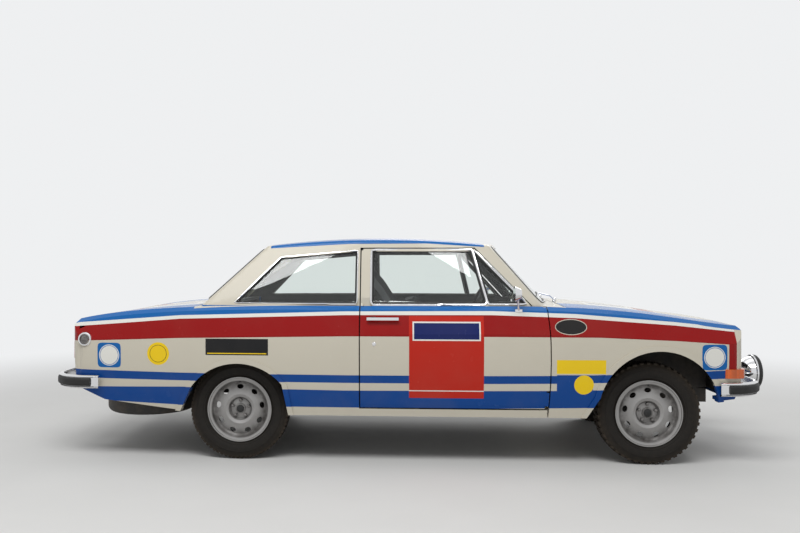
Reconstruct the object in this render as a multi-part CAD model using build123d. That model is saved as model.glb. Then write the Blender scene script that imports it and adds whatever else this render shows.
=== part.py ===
from build123d import *
import math
import os

# Two-door rally saloon. Millimetres, +X forward, +Y left, +Z up.
# The origin is on the floor, below the middle of the overall box.

# Axles, overall reach and wheels
WHEELBASE = 2600.0
FRONT_REACH = 860.0        # front axle to the face of the auxiliary lamps
REAR_REACH = 1240.0        # rear axle to the face of the rear bumper
TRACK = 1350.0
TYRE_RADIUS = 322.0
TYRE_WIDTH = 165.0
RIM_RADIUS = 209.0
RIM_FACE = 70.0            # wheel centre plane to the rim's outer edge
TREAD_HALF = 61.0
SIDEWALL_RADIUS = 258.0    # where the tyre is widest
FRONT_AXLE_X = (WHEELBASE + FRONT_REACH + REAR_REACH) / 2 - FRONT_REACH
REAR_AXLE_X = FRONT_AXLE_X - WHEELBASE

# Lower body
NOSE_OVERHANG = 567.0      # front axle to the nose panel
TAIL_OVERHANG = 1111.0     # rear axle to the tail corner
HALF_WIDTH = 867.0         # at the crease of the doors
SIDE_LEAN = 49.0           # crease to shoulder, inboard
SHOULDER_WIDTH = 40.0      # shoulder bevel below the windows
SHOULDER_RISE = 24.0
SIDE_TUCK = 52.0           # crease to sill, inboard
SIDE_BELLY = 16.0          # bulge of the side below the crease
SILL_Z = 302.0
BELT_Z = 996.0
NOSE_X = FRONT_AXLE_X + NOSE_OVERHANG
TAIL_X = REAR_AXLE_X - TAIL_OVERHANG
NOSE_TOP_Z = 866.0
NOSE_LEAN = 20.0
TAIL_TOP_Z = 880.0
TAIL_LEAN = 48.0
WALL = 50.0                # rear quarter, as a double wall
SKIN = 20.0                # wings, bonnet, boot lid, scuttle
GAP = 7.5                  # shut lines of doors and lids

# Greenhouse
CABIN_LOW_Z = 960.0
CABIN_HIGH_Z = 1440.0
ROOF_Z = 1448.0
ROOF_LONG_RADIUS = 6350.0
ROOF_CROSS_RADIUS = 7000.0
ROOF_EDGE_RADIUS = 24.0
PILLAR_RADIUS = 30.0       # front and rear corners of the greenhouse
FRAME = 28.0               # window frames, pillars and roof shell
GLASS = 6.0
GLASS_SET = 8.0            # glass face behind the frame's outer face

# Doors, measured from the front axle
DOOR_SETBACK = 632.0
DOOR_LENGTH = 1181.0
DOOR_FRONT_BOW = 16.0
DOOR_THICKNESS = 110.0
DOOR_BOTTOM_Z = 358.0
DOOR_TOP_Z = 1362.0
DOOR_RIM = 18.0            # inner door box inside the outer skin's edge
DOOR_FRONT_X = FRONT_AXLE_X - DOOR_SETBACK
DOOR_REAR_X = DOOR_FRONT_X - DOOR_LENGTH
HINGE_BACK = 40.0          # door's front edge back to the hinge pin
HINGE_INSET = 14.0         # crease in to the hinge pin
HINGE_PIN = 5.0
HINGE_ARM = 5.0            # half width of the hinge arm
HINGE_HEIGHTS = (640.0, 780.0)
HINGE_X = DOOR_FRONT_X - HINGE_BACK
HINGE_Y = HALF_WIDTH - HINGE_INSET

# Side windows in side view, x from the door's rear edge
DOOR_POST = 73.0           # rear post of the door's window frame
FRAME_EDGE = 17.0          # thickness of the frame over the glass
PILLAR_GAP = 12.0          # window frame to centre pillar
SCREEN_PILLAR_LOW = 101.0  # door front edge back to the frame's foot
SCREEN_PILLAR_HIGH = 448.0 # door front edge back to the frame's top
QUARTER_FRONT = 27.0       # door rear edge to the quarter window
QUARTER_TOP_LENGTH = 502.0
QUARTER_SILL_LENGTH = 790.0
QUARTER_TOP_DROP = 44.0
WINDOW_SILL_Z = 1010.0
REAR_SILL_Z = 1030.0       # lower edge of the rear window
QUARTER_INNER = 520.0      # rear quarter's inner edge under the rear window
WINDOW_TOP_Z = DOOR_TOP_Z - FRAME_EDGE

# Lids
SCUTTLE_X = FRONT_AXLE_X - 525.0
BONNET_HALF = 722.0
BONNET_TAPER = 40.0
BOOT_FRONT_X = REAR_AXLE_X - 300.0
BOOT_HALF = 640.0
BOOT_LIP_Z = 780.0
SHELF_X = REAR_AXLE_X - 120.0

# Wheel arches
REAR_ARCH_TOP_Z = 632.0
REAR_ARCH_FRONT = 290.0
REAR_ARCH_BACK = 300.0
REAR_ARCH_SLANT = 95.0
FRONT_ARCH_RADIUS = 372.0
FRONT_ARCH_AHEAD = 40.0
FRONT_ARCH_Z = 352.0
FRONT_ARCH_SLANT = 90.0
LIP_WIDTH = 34.0           # raised lip round each opening
LIP_PROUD = 7.0

# Underbody
FLOOR_Z = 318.0
FLOOR_T = 16.0
POST_INNER = 630.0         # inner face of the hinge posts
SILL_BOX = 60.0            # width of the sill's inner box
TUNNEL_HALF = 130.0
TUNNEL_Z = 470.0
KICK_Z = 500.0
BOOT_FLOOR_Z = 420.0
WELL_DEPTH = 170.0
TUB_RADIUS = 352.0
TUB_INNER = 560.0
BAY_WALL_Y = 392.0
BAY_WALL_T = 8.0
FIREWALL_X = FRONT_AXLE_X - 480.0
FIREWALL_T = 20.0
ENGINE_HALF = 150.0
ENGINE_LOW_Z = 380.0

# Running gear
KINGPIN_Y = 622.0
KINGPIN_TILT = 7.5
SPINDLE_RADIUS = 15.0
BALL_DROP = 90.0           # wheel centre down to the lower ball joint
BALL_RADIUS = 14.0
BEAM_TOP_Z = TYRE_RADIUS + 20.0
FIT = 0.05                 # running clearance of a shaft
AXLE_RADIUS = 38.0
TRAILING_ARM = 560.0
TRAILING_ARM_Y = 430.0
FREE = 0.3                 # seat clearance between separate pieces

# Interior
STEERING_WHEEL_RADIUS = 190.0
STEERING_WHEEL_X = DOOR_FRONT_X - 370.0
STEERING_WHEEL_Z = 905.0
COLUMN_TILT = 25.0         # degrees from level
DRIVER_Y = 360.0
SEAT_WIDTH = 440.0
SEAT_SETBACK = 770.0       # door front edge to the rear of the cushion
SEAT_RECLINE = 14.0        # degrees from upright
SEAT_BOLSTER = 80.0
MIRROR_RADIUS = 50.0

# Lamps and bumpers
AUX_LAMP_RADIUS = 115.0
AUX_LAMP_Y = 300.0
AUX_LAMP_Z = 533.0
HEADLAMP_RADIUS = 89.0
HEADLAMP_Y = 610.0
HEADLAMP_Z = 735.0
INDICATOR_LOW_Z = 557.0
INDICATOR_HIGH_Z = 613.0
TAIL_LAMP_LOW_Z = 636.0
TAIL_LAMP_HIGH_Z = 764.0
TAIL_LAMP_Y = 560.0        # inner edge
TAIL_LAMP_WIDTH = 160.0
BUMPER_FORWARD = 712.0     # front axle to the face of the front bumper
FRONT_BUMPER_Z = 490.0
REAR_BUMPER_Z = 505.0
BUMPER_HALF_HEIGHT = 43.0
BUMPER_DEPTH = 28.0        # pressed channel, back to face
BUMPER_SIDE_Y = 822.0      # back of the channel at its ends
BUMPER_TOE_IN = 12.0       # from its ends to its corners
BUMPER_CORNER = 210.0
BUMPER_FRONT_WRAP = 274.0
BUMPER_REAR_WRAP = 310.0
RUBBER_HALF_HEIGHT = 27.0  # rubber strip let into the face
RUBBER_PROUD = 8.0
RUBBER_SHORT = 52.0        # channel's end to the strip's end


def wire_face(points):
    """Flat face inside a closed run of straight lines."""
    return make_face(Polyline(*points, close=True))


def side_prism(outline, y_low, y_high):
    """Solid whose side view is the outline of (x, z) points."""
    flat = wire_face([(x, y_low, z) for x, z in outline])
    return extrude(flat, amount=y_high - y_low, dir=(0, 1, 0))


def plan_prism(outline, z_low, z_high):
    """Solid whose plan is the outline of (x, y) points."""
    flat = wire_face([(x, y, z_low) for x, y in outline])
    return extrude(flat, amount=z_high - z_low, dir=(0, 0, 1))


def front_prism(outline, x_low, x_high):
    """Solid whose front view is the outline of (y, z) points."""
    flat = wire_face([(x_low, y, z) for y, z in outline])
    return extrude(flat, amount=x_high - x_low, dir=(1, 0, 0))


def block(x_low, x_high, y_low, y_high, z_low, z_high):
    size = Box(x_high - x_low, y_high - y_low, z_high - z_low)
    return Pos((x_low + x_high) / 2, (y_low + y_high) / 2, (z_low + z_high) / 2) * size


def rod(x, y, z, radius, length, axis="y"):
    """Cylinder centred on a point, along one of the three axes."""
    turn = {"x": Rot(0, 90, 0), "y": Rot(90, 0, 0), "z": Rot(0, 0, 0)}[axis]
    return Pos(x, y, z) * turn * Cylinder(radius, length)


def tube(start, end, radius):
    """Round bar between two points."""
    start = Vector(*start)
    end = Vector(*end)
    plane = Plane(origin=start, z_dir=end - start)
    return extrude(plane * Circle(radius), amount=(end - start).length)


def mirrored(shape):
    return mirror(shape, about=Plane.XZ)


def both(shape):
    return shape + mirrored(shape)


def along(share):
    """x of a body station: 0 at the tail, 1 at the nose."""
    return TAIL_X + share * (NOSE_X - TAIL_X)


# Body stations: share of length, taper of the half width, height of the crease,
# height of the side's top edge, height of the middle of the top
STATIONS = [
    (-0.02, 92.0, 766.0, 846.0, 868.0),
    (0.08, 45.0, 785.0, 928.0, 950.0),
    (0.22, 14.0, 803.0, 966.0, 1000.0),
    (0.42, 1.0, 818.0, 972.0, 1010.0),
    (0.60, 0.0, 826.0, 972.0, 1012.0),
    (0.745, 5.0, 822.0, 966.0, 1007.0),
    (0.87, 22.0, 800.0, 922.0, 962.0),
    (1.01, 68.0, 765.0, 848.0, 884.0),
]


def body_section(station, inset):
    """Closed cross-section of the lower body, made of lines and arcs."""
    share, taper, crease_z, edge_z, top_z = station
    x = along(share)
    wide = HALF_WIDTH - taper - inset
    low = (wide - SIDE_TUCK, SILL_Z + inset)
    crease = (wide, crease_z)
    belly = ((low[0] + crease[0]) / 2 + SIDE_BELLY, (low[1] + crease[1]) / 2)
    edge = (wide - SIDE_LEAN, edge_z - inset)
    top = (wide - SIDE_LEAN - SHOULDER_WIDTH, edge_z + SHOULDER_RISE - inset)
    right = [
        ThreePointArc((x, -low[0], low[1]), (x, -belly[0], belly[1]), (x, -crease[0], crease[1])),
        Line((x, -crease[0], crease[1]), (x, -edge[0], edge[1])),
        Line((x, -edge[0], edge[1]), (x, -top[0], top[1])),
    ]
    over = ThreePointArc((x, -top[0], top[1]), (x, 0, top_z - inset), (x, top[0], top[1]))
    left = [
        Line((x, top[0], top[1]), (x, edge[0], edge[1])),
        Line((x, edge[0], edge[1]), (x, crease[0], crease[1])),
        ThreePointArc((x, crease[0], crease[1]), (x, belly[0], belly[1]), (x, low[0], low[1])),
    ]
    under = Line((x, low[0], low[1]), (x, -low[0], low[1]))
    return make_face([*right, over, *left, under])


def body_outline(inset):
    """Side view of the lower body: tail, deck, bonnet, nose and undersides."""
    tail_low = TAIL_X + TAIL_LEAN + inset
    nose_low = NOSE_X - NOSE_LEAN - inset
    return [
        (TAIL_X + inset, TAIL_TOP_Z - 70.0),
        (TAIL_X + 16.0 + inset, TAIL_TOP_Z - 18.0),
        (TAIL_X + 60.0 + inset, TAIL_TOP_Z + 40.0),
        (TAIL_X + 90.0 + inset, ROOF_Z),
        (NOSE_X - 90.0 - inset, ROOF_Z),
        (NOSE_X - 60.0 - inset, NOSE_TOP_Z + 40.0),
        (NOSE_X - 14.0 - inset, NOSE_TOP_Z - 6.0),
        (NOSE_X - inset, NOSE_TOP_Z - 46.0),
        (nose_low, 540.0),
        (nose_low - 40.0, 425.0 + inset),
        (FRONT_AXLE_X + 300.0, 400.0 + inset),
        (FRONT_AXLE_X - 380.0, SILL_Z + inset),
        (REAR_AXLE_X - 200.0, SILL_Z + inset),
        (REAR_AXLE_X - 365.0, SILL_Z + 22.0 + inset),
        (TAIL_X + 235.0, SILL_Z + 84.0 + inset),
        (TAIL_X + 90.0 + inset, SILL_Z + 150.0 + inset),
        (tail_low, SILL_Z + 190.0 + inset),
    ]


def body_plan(inset):
    """Plan of the lower body: arcs round the nose and the tail."""
    half = HALF_WIDTH + 20.0
    nose_side = HALF_WIDTH - 68.0 - inset
    tail_side = HALF_WIDTH - 92.0 - inset
    nose = NOSE_X - inset
    tail = TAIL_X + inset
    edges = [
        Line((tail + 230.0, half, 0), (nose - 230.0, half, 0)),
        Line((nose - 230.0, half, 0), (nose - 60.0, nose_side + 6.0, 0)),
        ThreePointArc((nose - 60.0, nose_side + 6.0, 0), (nose - 24.0, nose_side - 14.0, 0),
                      (nose - 8.0, nose_side - 60.0, 0)),
        ThreePointArc((nose - 8.0, nose_side - 60.0, 0), (nose, 0, 0),
                      (nose - 8.0, 60.0 - nose_side, 0)),
        ThreePointArc((nose - 8.0, 60.0 - nose_side, 0), (nose - 24.0, 14.0 - nose_side, 0),
                      (nose - 60.0, -nose_side - 6.0, 0)),
        Line((nose - 60.0, -nose_side - 6.0, 0), (nose - 230.0, -half, 0)),
        Line((nose - 230.0, -half, 0), (tail + 230.0, -half, 0)),
        Line((tail + 230.0, -half, 0), (tail + 70.0, -tail_side - 6.0, 0)),
        ThreePointArc((tail + 70.0, -tail_side - 6.0, 0), (tail + 30.0, 16.0 - tail_side, 0),
                      (tail + 14.0, 70.0 - tail_side, 0)),
        ThreePointArc((tail + 14.0, 70.0 - tail_side, 0), (tail, 0, 0),
                      (tail + 14.0, tail_side - 70.0, 0)),
        ThreePointArc((tail + 14.0, tail_side - 70.0, 0), (tail + 30.0, tail_side - 16.0, 0),
                      (tail + 70.0, tail_side + 6.0, 0)),
        Line((tail + 70.0, tail_side + 6.0, 0), (tail + 230.0, half, 0)),
    ]
    return extrude(make_face(edges), amount=ROOF_Z, dir=(0, 0, 1))


def body_solid(inset=0.0):
    """Whole lower body as one closed form, smaller by the inset all round."""
    form = loft([body_section(station, inset) for station in STATIONS])
    form = form & side_prism(body_outline(inset), -HALF_WIDTH - 50.0, HALF_WIDTH + 50.0)
    return form & body_plan(inset)


# Greenhouse plan at its two heights: height, front middle, front corner, side, rear corner,
# rear middle as x from the door's front edge, each corner with its half width
CABIN_PLANS = [
    (CABIN_LOW_Z, 128.0, (-3.0, 746.0), 791.0, (-2255.0, 731.0), -2335.0),
    (CABIN_HIGH_Z, -315.0, (-402.0, 588.0), 623.0, (-1748.0, 552.0), -1812.0),
]


def cabin_section(plan, inset):
    z, front, front_corner, side, rear_corner, rear = plan
    front_x = DOOR_FRONT_X + front_corner[0] - inset
    rear_x = DOOR_FRONT_X + rear_corner[0] + inset
    front_y = front_corner[1] - inset
    rear_y = rear_corner[1] - inset
    middle = (front_x + rear_x) / 2
    edges = [
        ThreePointArc((front_x, -front_y, z), (DOOR_FRONT_X + front - inset, 0, z), (front_x, front_y, z)),
        ThreePointArc((front_x, front_y, z), (middle, side - inset, z), (rear_x, rear_y, z)),
        ThreePointArc((rear_x, rear_y, z), (DOOR_FRONT_X + rear + inset, 0, z), (rear_x, -rear_y, z)),
        ThreePointArc((rear_x, -rear_y, z), (middle, inset - side, z), (front_x, -front_y, z)),
    ]
    return make_face(edges)


def roof_crown(inset):
    """Solid under a doubly curved roof surface."""
    middle_x = DOOR_FRONT_X - 1060.0
    top = ROOF_Z - inset
    half = 760.0
    drop = ROOF_CROSS_RADIUS - math.sqrt(ROOF_CROSS_RADIUS ** 2 - half ** 2)
    edges = [
        ThreePointArc((middle_x, -half, top - drop), (middle_x, 0, top), (middle_x, half, top - drop)),
        Line((middle_x, half, top - drop), (middle_x, half, 600.0)),
        Line((middle_x, half, 600.0), (middle_x, -half, 600.0)),
        Line((middle_x, -half, 600.0), (middle_x, -half, top - drop)),
    ]
    pivot = Axis((middle_x, 0, top - ROOF_LONG_RADIUS), (0, 1, 0))
    slice_face = make_face(edges)
    sweep_angle = 30.0
    return revolve(slice_face.rotate(pivot, -sweep_angle / 2), pivot, sweep_angle)


def cabin_solid(inset=0.0):
    """Greenhouse with its roof, as one closed form, smaller by the inset."""
    walls = loft([cabin_section(plan, inset) for plan in CABIN_PLANS], ruled=True)
    form = walls & roof_crown(inset)
    posts = [edge for edge in form.edges() if abs((edge @ 0).Z - (edge @ 1).Z) > (ROOF_Z - BELT_Z) / 2]
    form = fillet(posts, max(PILLAR_RADIUS - inset * 0.7, 8.0))
    high = (BELT_Z + 2.0 * ROOF_Z) / 3.0
    rim = [edge for edge in form.edges() if min((edge @ 0).Z, (edge @ 1).Z) > high]
    return fillet(rim, max(ROOF_EDGE_RADIUS - inset, 6.0))


def shut_line(x, bow, z_low, z_high):
    """Points of a gently bowed vertical shut line."""
    steps = 6
    rise = (z_high - z_low) / steps
    return [(x - bow * (2.0 * i / steps - 1.0) ** 2, z_low + rise * i) for i in range(steps + 1)]


def door_outline(grow=0.0, rim=0.0):
    """Side view of the door below the windows."""
    front = shut_line(DOOR_FRONT_X + grow - rim, DOOR_FRONT_BOW, SILL_Z - 20.0, BELT_Z)
    low = DOOR_BOTTOM_Z - grow + rim
    front = [(x, max(z, low)) for x, z in front]
    rear = DOOR_REAR_X - grow + rim
    return [(rear, low)] + front + [(rear, BELT_Z)]


def frame_front(z, shift=0.0):
    """x of the door window frame's front edge at a height."""
    low = DOOR_FRONT_X - SCREEN_PILLAR_LOW
    high = DOOR_FRONT_X - SCREEN_PILLAR_HIGH
    share = (z - BELT_Z) / (DOOR_TOP_Z - BELT_Z)
    return low + (high - low) * share + shift


def frame_outline(grow=0.0):
    """Side view of the door's window frame."""
    rear = DOOR_REAR_X + PILLAR_GAP - grow
    top = DOOR_TOP_Z + grow
    slope = grow * 1.4
    return [(rear, BELT_Z), (frame_front(BELT_Z, slope), BELT_Z),
            (frame_front(top, slope), top), (rear, top)]


def door_window_outlines():
    """Side views of the main glass and of the vent glass."""
    rear = DOOR_REAR_X + DOOR_POST
    edge = FRAME_EDGE * 1.45
    bar = 9.0
    bar_low = DOOR_FRONT_X - 376.0
    bar_high = DOOR_FRONT_X - 462.0
    main = [(rear, WINDOW_SILL_Z), (bar_low - bar, WINDOW_SILL_Z), (bar_high - bar, WINDOW_TOP_Z),
            (rear, WINDOW_TOP_Z)]
    tip = WINDOW_TOP_Z - 6.0
    vent = [(bar_low + bar, WINDOW_SILL_Z), (frame_front(WINDOW_SILL_Z, -edge), WINDOW_SILL_Z),
            (frame_front(tip, -edge), tip), (bar_high + bar, tip)]
    return main, vent


def quarter_window_outline():
    front = DOOR_REAR_X - QUARTER_FRONT
    return [(front, WINDOW_SILL_Z), (front, WINDOW_TOP_Z),
            (front - QUARTER_TOP_LENGTH, WINDOW_TOP_Z - QUARTER_TOP_DROP),
            (front - QUARTER_SILL_LENGTH, WINDOW_SILL_Z)]


def screen_cut(sill_z, top_z, sill_half, top_half, x_low, x_high):
    """Cutter for a front or rear window, rounded at its corners."""
    outline = [(-sill_half, sill_z), (sill_half, sill_z), (top_half, top_z), (-top_half, top_z)]
    cut = front_prism(outline, x_low, x_high)
    return fillet(cut.edges().filter_by(Axis.X), 40.0)


def windscreen_cut():
    return screen_cut(1012.0, 1368.0, 668.0, 552.0, DOOR_FRONT_X - 500.0, DOOR_FRONT_X + 200.0)


def rear_window_cut():
    return screen_cut(REAR_SILL_Z, 1352.0, 628.0, 520.0, DOOR_FRONT_X - 2400.0, DOOR_FRONT_X - 1680.0)


def rear_arch_cut(grow=0.0):
    """Rear wheel opening: flat-topped arch over the tyre, slanted at its back."""
    side = 1000.0
    low = SILL_Z - 30.0
    back = REAR_AXLE_X - REAR_ARCH_BACK - grow
    front = REAR_AXLE_X + REAR_ARCH_FRONT + grow
    edges = [
        Line((back - REAR_ARCH_SLANT, -side, low), (back, -side, 470.0)),
        ThreePointArc((back, -side, 470.0), (REAR_AXLE_X, -side, REAR_ARCH_TOP_Z + grow),
                      (front, -side, 500.0)),
        Line((front, -side, 500.0), (front + 44.0, -side, low)),
        Line((front + 44.0, -side, low), (back - REAR_ARCH_SLANT, -side, low)),
    ]
    return extrude(make_face(edges), amount=2 * side, dir=(0, 1, 0))


def front_arch_cut(grow=0.0):
    """Front wheel opening: a round arch cut higher than the rear one."""
    x = FRONT_AXLE_X + FRONT_ARCH_AHEAD
    side = 1000.0
    radius = FRONT_ARCH_RADIUS + grow
    z = FRONT_ARCH_Z
    low = SILL_Z - 30.0
    angle = math.radians(12.0)
    start = (x - radius * math.cos(angle), -side, z + radius * math.sin(angle))
    end = (x + radius * math.cos(angle), -side, z + radius * math.sin(angle))
    edges = [
        ThreePointArc(start, (x, -side, z + radius), end),
        Line(end, (x + radius - 6.0, -side, low)),
        Line((x + radius - 6.0, -side, low), (x - radius - FRONT_ARCH_SLANT, -side, low)),
        Line((x - radius - FRONT_ARCH_SLANT, -side, low), start),
    ]
    return extrude(make_face(edges), amount=2 * side, dir=(0, 1, 0))


def bonnet_region(grow=0.0):
    rear = SCUTTLE_X + GAP / 2 - grow
    half = BONNET_HALF + grow
    front_half = half - BONNET_TAPER
    front = NOSE_X - 34.0 + grow
    return plan_prism([(rear, -half), (front, -front_half), (front, front_half), (rear, half)],
                      700.0, ROOF_Z)


def boot_region(grow=0.0):
    half = BOOT_HALF + grow
    return block(TAIL_X - 60.0, BOOT_FRONT_X + grow, -half, half, BOOT_LIP_Z - grow, ROOF_Z)


def side_half(sign, inner=0.0):
    """Everything on one side of the car, outboard of a plane."""
    if sign > 0:
        return block(TAIL_X - 100.0, NOSE_X + 100.0, inner, HALF_WIDTH + 100.0, 0.0, ROOF_Z + 100.0)
    return block(TAIL_X - 100.0, NOSE_X + 100.0, -HALF_WIDTH - 100.0, -inner, 0.0, ROOF_Z + 100.0)


class Forms:
    """Shared forms of the body, each worked out once."""

    def __init__(self):
        self.body = body_solid()
        self.body_in = body_solid(SKIN)
        self.body_wall = body_solid(WALL)
        self.cabin = cabin_solid()
        self.cabin_in = cabin_solid(FRAME)
        self.skin = self.body - self.body_in
        self.frame = self.cabin - self.cabin_in
        self.glass = cabin_solid(GLASS_SET) - cabin_solid(GLASS_SET + GLASS)
        self.arches = rear_arch_cut() + front_arch_cut()
        self.lip_shell = body_solid(-LIP_PROUD) - body_solid(SKIN / 2)


def arch_lip(forms, arch_cut):
    """Raised lip round a wheel opening of the right side."""
    ring = arch_cut(LIP_WIDTH) - arch_cut()
    zone = block(TAIL_X, NOSE_X, -HALF_WIDTH - 30.0, -HALF_WIDTH + 130.0, SILL_Z, BELT_Z)
    return forms.lip_shell & ring & zone


def doors(forms):
    """Right door: thick box with the outer skin, and the thin window frame above it."""
    inner = HALF_WIDTH - DOOR_THICKNESS
    outer_skin = forms.body & side_prism(door_outline(), -HALF_WIDTH - 30.0, SKIN + 4.0 - HALF_WIDTH)
    box = forms.body & side_prism(door_outline(rim=DOOR_RIM), -HALF_WIDTH - 30.0, -inner)
    low = outer_skin + box
    for z in HINGE_HEIGHTS:
        low = low - block(HINGE_X - 14.0, DOOR_FRONT_X + 10.0, -inner - 96.0, -inner + 10.0, z - 15.0, z + 15.0)
        low = low - block(HINGE_X - 14.0, HINGE_X + 14.0, -HINGE_Y - HINGE_ARM - FREE, -HINGE_Y + 10.0,
                          z - 15.0, z + 15.0)
        low = low - rod(HINGE_X, -HINGE_Y, z, HINGE_PIN + FIT, 60.0, "z")
    upper = forms.frame & side_prism(frame_outline(), -HALF_WIDTH, 0.0)
    for outline in door_window_outlines():
        upper = upper - side_prism(outline, -HALF_WIDTH, 0.0)
    return low + upper


def hinge_arms():
    """Right door's two hinge arms with their pins, fixed to the hinge post."""
    arms = None
    for z in HINGE_HEIGHTS:
        across = block(HINGE_X - HINGE_ARM, HINGE_X + HINGE_ARM, -HINGE_Y, 60.0 - HINGE_Y, z - 9.0, z + 9.0)
        ahead = block(HINGE_X - HINGE_ARM, DOOR_FRONT_X + GAP + 4.0, 48.0 - HINGE_Y, 60.0 - HINGE_Y,
                      z - 9.0, z + 9.0)
        pin = rod(HINGE_X, -HINGE_Y, z, HINGE_PIN, 56.0, "z")
        arm = across + ahead + pin
        arms = arm if arms is None else arms + arm
    return arms


def door_glass(forms):
    panes = [forms.glass & side_prism(outline, -HALF_WIDTH, 0.0) for outline in door_window_outlines()]
    return panes[0] + panes[1]


def side_half_width(z):
    """Half width of the door's skin at a height above the crease."""
    crease_z, edge_z = STATIONS[4][2], STATIONS[4][3]
    return HALF_WIDTH - SIDE_LEAN * (z - crease_z) / (edge_z - crease_z)


def door_trim(forms):
    """Pull handle, lock and mirror on the right door."""
    x = DOOR_REAR_X + 142.0
    z = 919.0
    y = -side_half_width(z + 9.0)
    bar = block(x - 100.0, x + 100.0, y - 34.0, y - 22.0, z - 9.0, z + 9.0)
    for end in (x - 90.0, x + 78.0):
        bar = bar + block(end, end + 12.0, y - 24.0, y - 5.0, z - 8.0, z + 8.0)
    stem_x = DOOR_FRONT_X - 190.0
    stem_z = 985.0
    stem_y = -side_half_width(stem_z) - 1.0
    stem = tube((stem_x, stem_y, stem_z - 14.0), (stem_x - 10.0, stem_y - 46.0, 1040.0), 7.0)
    bowl = Cone(MIRROR_RADIUS, MIRROR_RADIUS * 0.6, 44.0)
    bowl = fillet(bowl.edges().sort_by(Axis.Z)[-1], 14.0)
    head = Pos(stem_x - 10.0, stem_y - 46.0, 1076.0) * Rot(0, 90, 0) * bowl
    foot = block(stem_x - 22.0, stem_x + 22.0, stem_y - 8.0, stem_y + 16.0, stem_z - 22.0, stem_z - 6.0)
    return bar - forms.body + (foot - forms.body + stem - forms.body + head)


def rear_quarter(forms):
    """Right rear quarter: side wall, pillars and the rail over the quarter window."""
    lower = (forms.body - forms.body_wall) & side_half(-1, 300.0)
    front_limit = DOOR_REAR_X - GAP
    lower = lower & block(TAIL_X - 50.0, front_limit, -HALF_WIDTH - 50.0, 0.0, 0.0, ROOF_Z)
    inner = HALF_WIDTH - DOOR_THICKNESS
    lower = lower - boot_region(GAP)
    lower = lower - block(TAIL_X - 60.0, TAIL_X + 110.0, -BOOT_HALF - GAP, 0.0, 0.0, ROOF_Z)
    lower = lower - block(TAIL_X - 60.0, SHELF_X, -BOOT_HALF - GAP, 0.0, 700.0, ROOF_Z)
    lower = lower - block(SHELF_X, front_limit, -inner, 0.0, 0.0, ROOF_Z)
    lower = lower - block(TAIL_X + 60.0, front_limit, -inner - 8.0, 0.0, 0.0, 860.0)
    lower = lower - forms.arches
    upper_zone = [(TAIL_X, BELT_Z - 40.0), *rail_seam(), (front_limit, DOOR_TOP_Z + GAP),
                  (front_limit, BELT_Z - 40.0)]
    upper = forms.frame & side_prism(upper_zone, -HALF_WIDTH, 0.0)
    upper = upper - side_prism(quarter_window_outline(), -HALF_WIDTH, 0.0)
    upper = upper - rear_window_cut()
    upper = upper & side_half(-1, QUARTER_INNER)
    return lower + upper + arch_lip(forms, rear_arch_cut)


def rail_seam():
    """Seam between roof and rear quarter, rear end first: level, then down behind the window."""
    seam = DOOR_TOP_Z + GAP
    front = DOOR_REAR_X - QUARTER_FRONT
    slope = QUARTER_TOP_DROP / QUARTER_TOP_LENGTH
    corner_x = front - QUARTER_TOP_LENGTH
    return [(TAIL_X, seam - slope * (front - TAIL_X)), (corner_x, seam - QUARTER_TOP_DROP), (front, seam)]


def roof(forms):
    """Roof panel with the headers and the windscreen pillars."""
    seam = DOOR_TOP_Z + GAP
    behind = GAP * 1.4
    below = [(TAIL_X, CABIN_LOW_Z - 50.0), *rail_seam(), (frame_front(seam, behind), seam),
             (frame_front(BELT_Z, behind), BELT_Z), (frame_front(BELT_Z, behind), CABIN_LOW_Z - 50.0)]
    shell = forms.frame - side_prism(below, -HALF_WIDTH, HALF_WIDTH)
    return shell - windscreen_cut() - rear_window_cut() - forms.body


def glazing(forms):
    """Windscreen, rear window and quarter glasses."""
    front = forms.glass & windscreen_cut()
    rear = forms.glass & rear_window_cut()
    quarter = forms.glass & side_prism(quarter_window_outline(), -HALF_WIDTH, 0.0)
    return front + rear + quarter + mirrored(quarter)


def front_wing(forms):
    """Right front wing with its arch and the strip beside the bonnet."""
    rear = shut_line(DOOR_FRONT_X + GAP, DOOR_FRONT_BOW, SILL_Z - 20.0, BELT_Z)
    zone = rear + [(DOOR_FRONT_X + GAP, ROOF_Z), (NOSE_X + 50.0, ROOF_Z), (NOSE_X + 50.0, SILL_Z - 20.0)]
    wing = forms.skin & side_prism(zone, -HALF_WIDTH - 50.0, 0.0)
    wing = wing & side_half(-1, 640.0)
    wing = wing - bonnet_region(GAP)
    wing = wing - block(NOSE_X - 80.0, NOSE_X + 80.0, -nose_panel_half(), 0.0, 0.0, ROOF_Z)
    wing = wing - block(0.0, SCUTTLE_X - GAP / 2, -BONNET_HALF - 10.0, 0.0, 0.0, ROOF_Z)
    inner = HALF_WIDTH - DOOR_THICKNESS
    wing = wing - block(0.0, FRONT_AXLE_X, -inner - 14.0, 0.0, 0.0, 600.0)
    wing = wing - block(0.0, NOSE_X - 20.0, -700.0, 0.0, 0.0, 600.0)
    return wing - forms.arches + arch_lip(forms, front_arch_cut)


def nose_panel_half():
    return HALF_WIDTH - 130.0


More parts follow.
